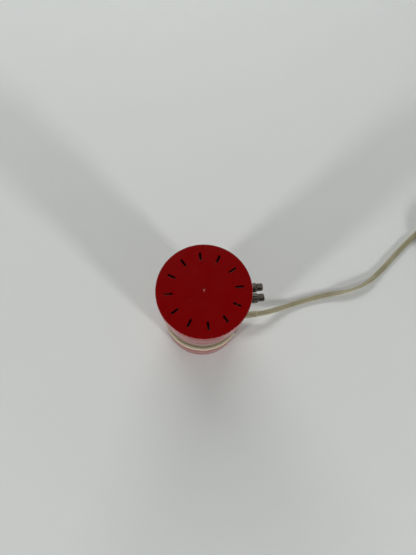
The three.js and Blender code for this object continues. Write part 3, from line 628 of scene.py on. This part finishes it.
COIL_TURNS = 6.43
COIL_START_ANGLE = 215.2
COIL_OUTER = 40.3  # radius of the outermost turn's middle
COIL_PITCH = 3.5  # from turn to turn, across
LAYER_Z = (3.9, 10.15)  # middle of the lower and the upper layer
TAIL_ROUTE = [
    (-30.3, 348.4, 9.6, 76),
    (-21.4, 342.8, 8.3, 40),
    (-15.5, 338.7, 7.3, 12),
    (-9.3, 333.1, 6.8, 0),
    (-2.2, 325.3, 7.0, 0),
    (3.0, 318.4, 7.0, 0),
]


def coil_points(per_turn=18):
    """The coil's turns: inwards in the lower layer, up, and outwards in the upper one."""
    steps = round(COIL_TURNS * per_turn)
    points = []
    for k in range(steps + 1):
        turn = COIL_TURNS * k / steps
        inward = min(turn, COIL_TURNS - turn)
        climb = min(1.0, max(0.0, (turn - COIL_TURNS / 2 + 0.18) / 0.36))
        climb = climb * climb * (3 - 2 * climb)
        x, y = polar(COIL_OUTER - COIL_PITCH * inward, COIL_START_ANGLE - 360 * turn)
        z = LAYER_Z[0] + (LAYER_Z[1] - LAYER_Z[0]) * climb
        points.append((COIL_CENTRE[0] + x, COIL_CENTRE[1] + y, z, 90))
    return points


def smooth_line(points, spacing):
    """Points spaced evenly along a smooth curve through the given ones, with the roll as a fourth number."""
    ends = [points[0], *points, points[-1]]
    fine = []
    for i in range(1, len(ends) - 2):
        p0, p1, p2, p3 = (Vector(ends[i + k]) for k in (-1, 0, 1, 2))
        count = max(2, round((p2 - p1).to_3d().length / 0.5))
        for k in range(count):
            t = k / count
            fine.append(
                0.5 * ((2 * p1) + (p2 - p0) * t + (2 * p0 - 5 * p1 + 4 * p2 - p3) * t * t
                       + (3 * p1 - p0 - 3 * p2 + p3) * t ** 3)
            )
    fine.append(Vector(points[-1]))
    line, due = [fine[0]], spacing
    for a, b in zip(fine, fine[1:]):
        due -= (b - a).to_3d().length
        if due <= 0:
            line.append(b)
            due = spacing
    return line


def flex_section(steps=9):
    """The outline of the flat twin flex: two round cores side by side."""
    core = CORD_THICK / 2
    middle = CORD_WIDTH / 2 - core
    valley = 62  # degrees from the far side round to the groove
    outline = []
    for side in (1, -1):
        for k in range(steps + 1):
            across, up = polar(core, -180 + valley + (360 - 2 * valley) * k / steps)
            outline.append((side * (middle + across), side * up))
    return outline


def make_cord():
    points = [(*CORD_START, 0), (CORD_X, 52, CORD_Z, 0), *CORD_ROUTE, *coil_points(), *TAIL_ROUTE]
    line = smooth_line(points, 2.0)
    section = flex_section()
    rings = [[tuple(line[0].to_3d())]]
    for i, point in enumerate(line):
        ahead = (line[min(i + 1, len(line) - 1)] - line[max(i - 1, 0)]).to_3d().normalized()
        side = ahead.cross(Vector((0, 0, 1))).normalized()
        above = side.cross(ahead).normalized()
        roll = math.radians(point[3])
        broad = side * math.cos(roll) + above * math.sin(roll)
        thin = above * math.cos(roll) - side * math.sin(roll)
        outline = [point.to_3d() + broad * across + thin * up for across, up in section]
        lift = max(0.0, 0.05 - min(p.z for p in outline))  # clear of the table
        rings.append([(p.x, p.y, p.z + lift) for p in outline])
    rings.append([tuple(line[-1].to_3d())])
    cord = skin("mains_flex", rings)
    return finished(cord, VINYL, replaces=("mains_cord", "cord_coil", "cord_tail")), line


flex, flex_line = make_cord()


# ------------------------------------------------------------------ strain relief, tie and plug
def strain_relief():
    """A tapered boot with a flange against the wall and shallow bending grooves."""
    outline = [
        (0, 35.9), (4.0, 35.9), (4.2, 36.1), (4.2, 36.8), (4.0, 37.0), (3.2, 37.0), (3.2, 40.3),
        (5.1, 40.3), (5.35, 40.45), (5.4, 40.8), (5.3, 41.3), (4.9, 41.7), (4.35, 42.0), (4.1, 42.6),
    ]
    start, end, count = 44.5, 59.5, 6
    pitch = (end - start) / count
    for k in range(count):
        y = start + k * pitch
        surface = 3.95 - 0.42 * k / count
        outline += [
            (surface, y), (surface - 0.05, y + 0.1), (surface - 0.3, y + 0.3),
            (surface - 0.3, y + 0.7), (surface - 0.07, y + 0.9), (surface - 0.02, y + 1.0),
        ]
    outline += [
        (3.45, 60.6), (3.38, RELIEF_END - 0.5), (3.15, RELIEF_END - 0.1), (2.9, RELIEF_END), (0, RELIEF_END),
    ]
    boot = along_y(revolve("strain_relief_boot", outline, 72), CORD_X, CORD_Z)
    return finished(boot, VINYL, replaces=("strain_relief",), degrees=50)


def coil_tie():
    """A flat black strap round the coil, with a small keeper on its outside."""
    inner, outer, low, high = 26.3, 42.7, 0.3, 13.8
    corners = [(inner, low, 1.6), (outer, low, 1.6), (outer, high, 1.6), (inner, high, 1.6)]
    path = filleted([(r, z, radius) for r, z, radius in corners], steps=6)
    centre = Vector(((inner + outer) / 2, (low + high) / 2))
    count = len(path)
    rings = []
    for i, point in enumerate(path):
        here = Vector(point)
        along = (Vector(path[(i + 1) % count]) - Vector(path[i - 1])).normalized()
        outwards = Vector((along.y, -along.x))
        if outwards.dot(here - centre) < 0:
            outwards = -outwards
        ring = []
        for wide, thick in ((-2.9, 0.0), (-2.6, 0.28), (2.6, 0.28), (2.9, 0.0), (2.6, -0.22), (-2.6, -0.22)):
            spot = here + outwards * thick
            ring.append((spot.x, wide, spot.y))
        rings.append(ring)
    strap = skin("coil_strap", rings, closed_loop=True)
    keeper = box("keeper", (outer - 0.1, outer + 1.5), (-3.8, 3.8), (5.2, 9.6))
    soften(keeper, lambda p: True, 0.5, 3)
    slot_cut = box("slot_cut", (outer + 0.45, outer + 0.95), (-3.0, 3.0), (4, 11))
    cut(keeper, slot_cut)
    join(strap, keeper)
    turn = Matrix.Rotation(math.radians(300), 4, "Z")
    strap.data.transform(Matrix.Translation((COIL_CENTRE[0] * MM, COIL_CENTRE[1] * MM, 0)) @ turn)
    return finished(strap, BLACK, replaces=("cord_tie",))


PLUG_AT = (-2.0, 325.0, 7.0)  # where the cord enters
PLUG_TURN = -143
PLUG_FACE = 36.0  # from the entry to the face that the pins stand on
PIN_X = 9.3
PIN_RADIUS = 2.0
PIN_TIP = 55.0


def lay_plug(piece):
    turn = Matrix.Rotation(math.radians(PLUG_TURN), 4, "Z")
    piece.data.transform(Matrix.Translation(Vector(PLUG_AT) * MM) @ turn)
    return piece


def plug_section(y, half_wide, half_thick, squareness, steps=72):
    """A rounded section of the plug: squareness 2 is an oval, and more is nearer to a rectangle."""
    ring = []
    for k in range(steps):
        angle = 2 * math.pi * k / steps
        c, s = math.cos(angle), math.sin(angle)
        x = half_wide * math.copysign(abs(c) ** (2 / squareness), c)
        z = half_thick * math.copysign(abs(s) ** (2 / squareness), s)
        ring.append((x, y, z))
    return ring


def plug_body():
    sections = [(0.0, 3.1, 2.4, 2.2), (0.25, 3.5, 2.8, 2.2)]
    for k in range(5):
        y = 1.2 + 2.1 * k
        wide, thick = 3.7 + 0.32 * k, 3.2 + 0.36 * k
        sections += [
            (y, wide, thick, 2.3), (y + 0.25, wide - 0.45, thick - 0.45, 2.3),
            (y + 0.85, wide - 0.4, thick - 0.4, 2.3), (y + 1.1, wide + 0.12, thick + 0.12, 2.3),
        ]
    flare = [
        (11.8, 5.3, 4.75, 2.4), (12.8, 6.1, 5.1, 2.6), (14.2, 9.2, 5.5, 2.8), (15.6, 12.0, 5.85, 3.0),
        (17.5, 13.8, 6.15, 3.2), (20.0, 15.3, 6.4, 3.5), (23.0, 16.6, 6.62, 3.9), (26.0, 17.25, 6.76, 4.3),
        (29.0, 17.5, 6.85, 4.8), (34.4, 17.5, 6.85, 5.0), (35.2, 17.4, 6.76, 5.0), (35.75, 17.1, 6.5, 5.0),
        (36.0, 16.4, 5.9, 5.0),
    ]
    rings = [[(0, 0, 0)]]
    rings += [plug_section(*section) for section in sections + flare]
    rings += [plug_section(PLUG_FACE, 16.4 * s, 5.9 * s, 5.0) for s in (0.97, 0.5)]
    rings += [[(0, PLUG_FACE, 0)]]
    body = skin("plug_moulding", rings)
    for side in (-1, 1):
        hole = rod("hole", PIN_RADIUS + 0.25, (30, 40), 48)
        cut(body, along_y(hole, side * PIN_X, 0))
    for side in (-1, 1):
        recess = box("recess", (-9.5, 9.5), (18.8, 29.5), (side * 6.35, side * 9))
        soften(recess, lambda p: True, 1.2, 4)
        cut(body, recess)
    return finished(lay_plug(body), PLUG_VINYL, replaces=("plug_body",), degrees=42)


def plug_pin(number):
    """A round pin with an insulating sleeve on its first half."""
    x = PIN_X * (-1, 1)[number - 1]
    sleeve_end = PLUG_FACE + 10
    outline = [
        (0, PLUG_FACE - 5.6), (1.85, PLUG_FACE - 5.6), (1.85, sleeve_end), (1.85, sleeve_end + 0.01),
        (1.95, sleeve_end + 0.1), (PIN_RADIUS, sleeve_end + 0.3), (PIN_RADIUS, PIN_TIP - 1.6),
        (1.9, PIN_TIP - 1.0), (1.62, PIN_TIP - 0.5), (1.1, PIN_TIP - 0.14), (0.5, PIN_TIP - 0.02),
        (0, PIN_TIP),
    ]
    pin = along_y(revolve(f"contact_pin_{number}", outline, 48), x, 0)
    pin.data.materials.append(NICKEL)
    pin.data.materials.append(BLACK)
    for polygon in pin.data.polygons:
        if polygon.center.y < sleeve_end * MM:
            polygon.material_index = 1
    return finished(lay_plug(pin), NICKEL, replaces=(f"plug_pin_{number}",))


cord_pieces = [strain_relief(), coil_tie(), plug_body(), plug_pin(1), plug_pin(2)]


# ------------------------------------------------------------------ the cap
SLOTS = 12
SLOT_FROM = 25.9
SLOT_TO = 32.9
SLOT_HALF = 1.0
SKIRT_BOTTOM = 131.0


def top_cap():
    bend = [polar(CAP_ROUND, 90 - 9 * k) for k in range(11)]
    rim = [(RADIUS - CAP_ROUND + x, TOP - CAP_ROUND + y) for x, y in bend]
    outline = [
        (0, TOP), (12, TOP), (23, TOP), (34.6, TOP), (37.8, TOP), (38.9, TOP), *rim,
        (RADIUS, CAP_BOTTOM + 0.3), (RADIUS - 0.09, CAP_BOTTOM + 0.09), (RADIUS - 0.3, CAP_BOTTOM),
        (LENS_OUTER, CAP_BOTTOM), (LENS_OUTER, SKIRT_BOTTOM + 0.4), (LENS_OUTER - 0.4, SKIRT_BOTTOM),
        (CORE, SKIRT_BOTTOM), (CORE, TOP - 2), (0, TOP - 2),
    ]
    cap = revolve("slotted_cap", outline)
    through = (TOP - 3, TOP + 1)
    for k in range(SLOTS):
        cut(cap, box("slot", (SLOT_FROM, SLOT_TO), (-SLOT_HALF, SLOT_HALF), through, 360 * k / SLOTS))
    dimple = [(0, TOP - 0.3), (1.3, TOP - 0.3), (1.5, TOP - 0.1), (1.5, TOP + 1), (0, TOP + 1)]
    cut(cap, revolve("dimple", dimple, 48))

    def slot_mouth(p):
        reach = math.hypot(p.x, p.y)
        return p.z > TOP - 0.05 and (SLOT_FROM - 0.5 < reach < SLOT_TO + 0.5 or reach < 2)

    soften(cap, slot_mouth, 0.12, 2)
    return finished(cap, RED, replaces=("top_cap",), degrees=20)


def gate_pip():
    """The small moulding mark at the middle of the cap."""
    outline = [
        (0, TOP - 0.29), (0.62, TOP - 0.29), (0.68, TOP - 0.14), (0.55, TOP - 0.04), (0.3, TOP - 0.01),
        (0, TOP),
    ]
    return finished(revolve("gate_pip", outline, 40), GATE, degrees=60)


def slot_flash(number, angle, reach, top):
    """A ragged web of red plastic that partly closes a slot."""
    web = box(f"slot_flash_{number}", reach, (-SLOT_HALF - 0.02, SLOT_HALF + 0.02), (TOP - 1.7, top), angle)
    soften(web, lambda p: p.z > top - 0.1, 0.15, 2)
    return finished(web, FLASH)


top_cap()
gate_pip()
slot_flash(1, 270, (28.4, 32.8), TOP - 0.75)
slot_flash(2, 60, (28.5, 30.1), TOP - 0.85)

# ------------------------------------------------------------------ the housings
WINDOW = (52.0, 102.0)
LOWER_TOP = 48.7
UPPER_BOTTOM = 49.0
BAND_TOP = 133.7
FLAT_HALF = 10.5
FLAT_FRONT = 40.3
FLAT_BACK = 36.8
FLAT_TALL = 11.2
LUG_CENTRE = 33.6
LUG_ZS = (126.0, 130.7)
BOSS_CENTRE = 32.5
BOSS_ZS = (4.9, 18.0)


def wall_band(name, bottom, top, low_round, high_round):
    """A plain band of the drum's wall with rounded outer edges."""
    corners = [
        (INNER, bottom, 0), (RADIUS, bottom, low_round), (RADIUS, top, high_round), (INNER, top, 0),
    ]
    return revolve(name, filleted(corners, steps=4))


def peg(name, radius, angle, reach, heights, steps=32):
    """An upright round post at an angle and a distance from the axis."""
    piece = rod(name, radius, heights, steps)
    x, y = polar(reach, angle)
    piece.data.transform(Matrix.Translation((x * MM, y * MM, 0)))
    return piece


def bore(name, radius, x, z, ys=(30, 50)):
    return along_y(rod(name, radius, ys, 64), x, z)


def lower_housing():
    housing = wall_band("lower_drum", 0.8, LOWER_TOP, 0.6, 0.35)
    for angle in SCREW_ANGLES:
        rib = box("rib", (BOSS_CENTRE, INNER + 1), (-1.4, 1.4), BOSS_ZS, angle)
        join(housing, rib, peg("boss", 3.6, angle, BOSS_CENTRE, BOSS_ZS))
        cut(housing, peg("hole", 1.5, angle, BOSS_CENTRE, (3.9, 16)))
    cut(housing, bore("cord_hole", 3.6, CORD_X, CORD_Z))
    return finished(housing, RED, replaces=("lower_housing",), degrees=32)


def from_spine(p):
    """Degrees round the drum from the middle of the spine."""
    return abs(math.degrees(math.atan2(p.y, p.x)) - 90)


def upper_housing():
    housing = wall_band("upper_drum", UPPER_BOTTOM, BAND_TOP, 0.35, 0.35)
    round_front = (90 + SPINE_HALF_ANGLE, 450 - SPINE_HALF_ANGLE)
    window = wedge("window", (34, 44), round_front, (UPPER_BOTTOM - 1, WINDOW[1]), 96)

    def window_corner(p):
        by_jamb = abs(from_spine(p) - SPINE_HALF_ANGLE) < 1
        return p.z > WINDOW[1] - 0.1 and by_jamb and abs(math.hypot(p.x, p.y) - 39) < 4

    soften(window, window_corner, 2.5, 6, 60)
    cut(housing, window)
    tongue = wedge("tongue", (CORE, LENS_OUTER), (66, 114), (37, 51), 16)
    root = wedge("root", (CORE, INNER + 0.5), (66, 114), (50, 58), 16)
    join(housing, root, tongue)
    flat_heights = (KNOB_Z - FLAT_TALL / 2, KNOB_Z + FLAT_TALL / 2)
    flat = box("flat", (-FLAT_HALF, FLAT_HALF), (FLAT_BACK, FLAT_FRONT), flat_heights)
    soften(flat, lambda p: p.y > FLAT_FRONT - 0.1, 0.25, 3)
    join(housing, flat)
    for x in KNOB_XS:
        cut(housing, bore("bushing_hole", 3.3, x, KNOB_Z))
    for angle in SCREW_ANGLES:
        join(housing, box("lug", (LUG_CENTRE - 2.6, INNER + 1), (-3.5, 3.5), LUG_ZS, angle))
        cut(housing, peg("hole", 1.5, angle, LUG_CENTRE, (125, 132)))

    def jamb(p):
        on_jamb = abs(from_spine(p) - SPINE_HALF_ANGLE) < 0.6 and UPPER_BOTTOM + 1 < p.z < WINDOW[1] + 1
        on_lintel = from_spine(p) > SPINE_HALF_ANGLE + 1 and abs(p.z - WINDOW[1]) < 0.1
        return math.hypot(p.x, p.y) > RADIUS - 0.1 and (on_jamb or on_lintel)

    soften(housing, jamb, 0.3, 2, 60)
    housing.data.materials.append(RED)
    housing.data.materials.append(JAMB)
    for polygon in housing.data.polygons:
        middle = polygon.center / MM
        by_jamb = abs(from_spine(middle) - SPINE_HALF_ANGLE) < 1
        sideways = abs(polygon.normal.dot(middle.to_2d().normalized().to_3d())) < 0.2
        if sideways and by_jamb and UPPER_BOTTOM + 2 < middle.z < WINDOW[1]:
            polygon.material_index = 1
    return finished(housing, RED, replaces=("upper_housing",), degrees=32)


def behind_spine():
    """What the ring and the lens leave open at the back."""
    return wedge("opening", (30, 45), (62, 118), (43, 106), 24)


def window_ring():
    """The cream ring along the foot of the window."""
    corners = [
        (LENS_INNER, 44, 0), (LENS_OUTER, 44, 0), (LENS_OUTER, 49, 0), (RADIUS, 49, 0.3), (RADIUS, 52, 0.7),
        (LENS_INNER, 52, 0.15),
    ]
    ring = revolve("beat_ring", filleted(corners, steps=4))
    beside = SPINE_HALF_ANGLE + 0.5
    cut(ring, wedge("ring_end", (LENS_OUTER, 45), (90 - beside, 90 + beside), (43, 106), 32))
    cut(ring, behind_spine())
    return finished(ring, CREAM, replaces=("window_ring",), degrees=32)


def window_lens():
    corners = [
        (LENS_INNER, 52.3, 0), (LENS_OUTER, 52.3, 0.3), (LENS_OUTER, 104.5, 0.2), (LENS_INNER, 104.5, 0),
    ]
    lens = revolve("beat_lens", filleted(corners, steps=4))
    cut(lens, behind_spine())
    return finished(lens, LENS_RED, replaces=("window_lens",), degrees=32)


lower_housing()
upper_housing()
window_ring()
window_lens()

# ------------------------------------------------------------------ knobs and nuts
SKIRT_RADIUS = 4.4
GRIP_RADIUS = 3.5
FLUTES = 12
FLUTE_DEPTH = 0.55
KNOB_BACK = 42.6
SKIRT_END = 48.0
KNOB_TIP = 53.9


def knob(job, x):
    """A skirt and a grip, both fluted, with a slightly domed end, bored for the shaft."""
    around = FLUTES * 16
    crest = [abs(math.sin(math.pi * FLUTES * k / around)) ** 1.1 for k in range(around)]

    def ring(radius, y, fluted=0.0):
        points = []
        for k in range(around):
            reach = radius - FLUTE_DEPTH * fluted * (1 - crest[k])
            across, up = polar(reach, 360 * k / around)
            points.append((x + across, y, KNOB_Z + up))
        return points

    stations = [
        (1.8, 50.3, 0), (1.8, KNOB_BACK + 0.2, 0), (2.0, KNOB_BACK, 0), (3.7, KNOB_BACK, 0),
        (4.25, KNOB_BACK + 0.12, 0.4), (SKIRT_RADIUS, KNOB_BACK + 0.4, 0.8), (SKIRT_RADIUS, 45, 0.8),
        (SKIRT_RADIUS, 47.1, 0.8), (4.3, 47.5, 0.7),
        (4.1, 47.8, 0.4), (3.8, 47.95, 0.1), (3.6, SKIRT_END, 0), (3.53, SKIRT_END + 0.06, 0.6),
        (GRIP_RADIUS, SKIRT_END + 0.3, 1), (GRIP_RADIUS, 50.5, 1), (GRIP_RADIUS, 52.7, 1), (3.44, 53.0, 1),
        (3.28, 53.3, 0.9), (3.0, 53.52, 0.65), (2.7, 53.66, 0.3), (2.35, 53.75, 0), (1.6, 53.84, 0),
        (0.8, 53.885, 0),
    ]
    rings = [[(x, 50.3, KNOB_Z)]]
    rings += [ring(*station) for station in stations]
    rings += [[(x, KNOB_TIP, KNOB_Z)]]
    piece = skin(f"{job}_fluted_knob", rings)
    look = chrome(f"{job}_chrome", x, fluted=True)
    return finished(piece, look, job, replaces=(f"{job}_knob",), degrees=48)


def nut(job, x):
    """A hexagonal nut with its corners chamfered on both faces."""
    start, end, hole, apothem = 40.6, 42.0, 3.3, 4.6 * math.cos(math.radians(30))
    around = 96
    rings = {"inner": [], "low": [], "low_edge": [], "high_edge": [], "high": [], "outer": []}
    for k in range(around):
        angle = 360 * k / around
        reach = apothem / math.cos(math.radians(angle % 60 - 30))
        lift = (reach - apothem) * math.tan(math.radians(30))
        for key, radius, y in (
            ("inner", hole, start), ("low", apothem, start), ("low_edge", reach, start + lift + 0.02),
            ("high_edge", reach, end - lift - 0.02), ("high", apothem, end), ("outer", hole, end),
        ):
            across, up = polar(radius, angle)
            rings[key].append((x + across, y, KNOB_Z + up))
    piece = skin(f"{job}_hex_nut", list(rings.values()), closed_loop=True)
    return finished(piece, SHADED_NUT_CHROME, replaces=(f"{job}_nut",), degrees=25)


# Painted shade: the nuts are a darker copy of the knobs' chrome, standing in for the shade between the cap
# and the knob skirts.
SHADED_NUT_CHROME = chrome("painted_shade_nut_chrome", painted_shade_scale=0.3)
for job, knob_x in zip(("tempo", "volume"), KNOB_XS):
    knob(job, knob_x)
    nut(job, knob_x)

# ------------------------------------------------------------------ the rubber pad underneath
PAD_RADIUS = 30.0
PAD_TOP = 1.3


def rubber_pad():
    """A soft pad with rings of ridges that grip the table."""
    outline = [
        (0, PAD_TOP), (PAD_RADIUS - 0.2, PAD_TOP), (PAD_RADIUS, PAD_TOP - 0.2), (PAD_RADIUS, 0.35),
        (PAD_RADIUS - 0.35, 0),
    ]
    for k in range(11):
        out = 28.2 - 2.4 * k
        outline += [(out, 0), (out - 0.25, 0.35), (out - 0.95, 0.35), (out - 1.2, 0)]
    outline.append((0, 0))
    return finished(revolve("ridged_pad", outline, 128), RUBBER, replaces=("base_pad",))


rubber_pad()

# ------------------------------------------------------------------ looks of the carried-over pieces
CARRIED = {
    BLACK: ("base_plate", "lamp_socket", "capacitor_main", "capacitor_timing",
            "output_transistor", "oscillator_chip", "fuse_holder", "cord_clamp",
            "lamp_wire", "speaker_wire", "control_wire"),
    WHITE: ("lower_reflector", "upper_reflector", "terminal_block"),
    STEEL: ("speaker_frame", "speaker_magnet", "tempo_control", "volume_control", "tempo_shaft",
            "volume_shaft", "transformer_core", "transformer_strap",
            "base_screw_1", "base_screw_2", "base_screw_3",
            "board_screw_1", "board_screw_2", "board_screw_3",
            "speaker_screw_1", "speaker_screw_2", "speaker_screw_3"),
    BRASS: ("bulb_cap",),
    LAMP_GLASS: ("bulb_glass",),
    FUSE_GLASS: ("fuse",),
    PAPER: ("speaker_cone",),
    CLOTH: ("speaker_cloth",),
    BOARD: ("circuit_board",),
    WINDING: ("transformer_winding",),
    VINYL: ("mains_wire",),
}
for material, names in CARRIED.items():
    for name in names:
        if name not in NODES:
            continue
        NODES[name].data.materials.clear()
        NODES[name].data.materials.append(material)


# ------------------------------------------------------------------ table, light and air
TABLE_RADIUS = 2200.0
COVE = 500.0
WALL_TOP = 1500.0


def table():
    """A wide pale table that curves up into a wall all round."""
    outline = [(400, 0), (900, 0), (TABLE_RADIUS, 0)]
    outline += [(TABLE_RADIUS + x, COVE + z) for x, z in (polar(COVE, -90 + 9 * k) for k in range(1, 11))]
    outline.append((TABLE_RADIUS + COVE, WALL_TOP))
    rings = [[(0, 0, 0)]]
    for radius, height in outline:
        rings.append([(*polar(radius, 360 * k / 96), height) for k in range(96)])
    sweep = skin("table", rings)
    smooth(sweep)
    look = Look("table_paint", (0.79, 0.81, 0.79), 0.55)
    look.colour(look.blend(look.noise(60, 3), (0.79, 0.81, 0.79), (0.775, 0.795, 0.78)))
    look.rough(look.span(look.noise(40, 3), 0.3, 0.7, 0.62, 0.66))
    sweep.data.materials.append(look.material)


def soft_box(name, azimuth, elevation, distance, size, watts):
    """A rectangular area light aimed at the object's middle."""
    data = bpy.data.lights.new(name, "AREA")
    data.shape = "RECTANGLE"
    data.size, data.size_y = size
    data.energy = watts
    lamp = bpy.data.objects.new(name, data)
    x, y = polar(math.cos(math.radians(elevation)), azimuth)
    towards = Vector((x, y, math.sin(math.radians(elevation))))
    lamp.location = towards * distance + Vector((0, 0, 0.06))
    lamp.rotation_euler = towards.to_track_quat("Z", "Y").to_euler()
    bpy.context.scene.collection.objects.link(lamp)


SKY_STRENGTH = 0.35


def ramp(tree, value, stops):
    """A grey ramp through (position, level) stops."""
    node = tree.nodes.new("ShaderNodeValToRGB")
    tree.links.new(value, node.inputs["Fac"])
    elements = node.color_ramp.elements
    while len(elements) < len(stops):
        elements.new(0.5)
    for element, (position, level) in zip(elements, stops):
        element.position = position
        element.color = (level, level, level, 1)
    return node.outputs["Color"]


def air():
    """Soft light, stronger from the -X side than from the +X side, and dim straight above."""
    world = bpy.data.worlds.new("air")
    bpy.context.scene.world = world
    world.use_nodes = True
    tree = world.node_tree
    place = tree.nodes.new("ShaderNodeTexCoord")
    split = tree.nodes.new("ShaderNodeSeparateXYZ")
    tree.links.new(place.outputs["Generated"], split.inputs["Vector"])
    shift = tree.nodes.new("ShaderNodeMapRange")
    tree.links.new(split.outputs["X"], shift.inputs["Value"])
    for socket, number in (("From Min", -1.0), ("From Max", 1.0)):
        shift.inputs[socket].default_value = number
    across = ramp(tree, shift.outputs["Result"], [
        (0.0, 1.0), (0.22, 0.9), (0.34, 0.03), (0.46, 0.02), (0.58, 0.3), (1.0, 0.35),
    ])
    up = ramp(tree, split.outputs["Z"], [(0.0, 0.7), (0.3, 0.8), (0.55, 1.0), (1.0, 1.0)])
    product = tree.nodes.new("ShaderNodeMix")
    product.data_type = "RGBA"
    product.blend_type = "MULTIPLY"
    product.inputs["Factor"].default_value = 1.0
    colours = [socket for socket in product.inputs if socket.type == "RGBA"]
    tree.links.new(across, colours[0])
    tree.links.new(up, colours[1])
    sky = tree.nodes["Background"]
    sky.inputs["Strength"].default_value = SKY_STRENGTH
    tree.links.new([s for s in product.outputs if s.type == "RGBA"][0], sky.inputs["Color"])


table()
air()
soft_box("left_light", -55.2, 20, 2.4, (0.28, 0.36), 23)
soft_box("right_light", 39.8, 20, 2.4, (0.28, 0.36), 23)
soft_box("far_light", 180, 28, 2.4, (2.4, 0.4), 28)
bpy.context.scene.view_settings.view_transform = "Standard"
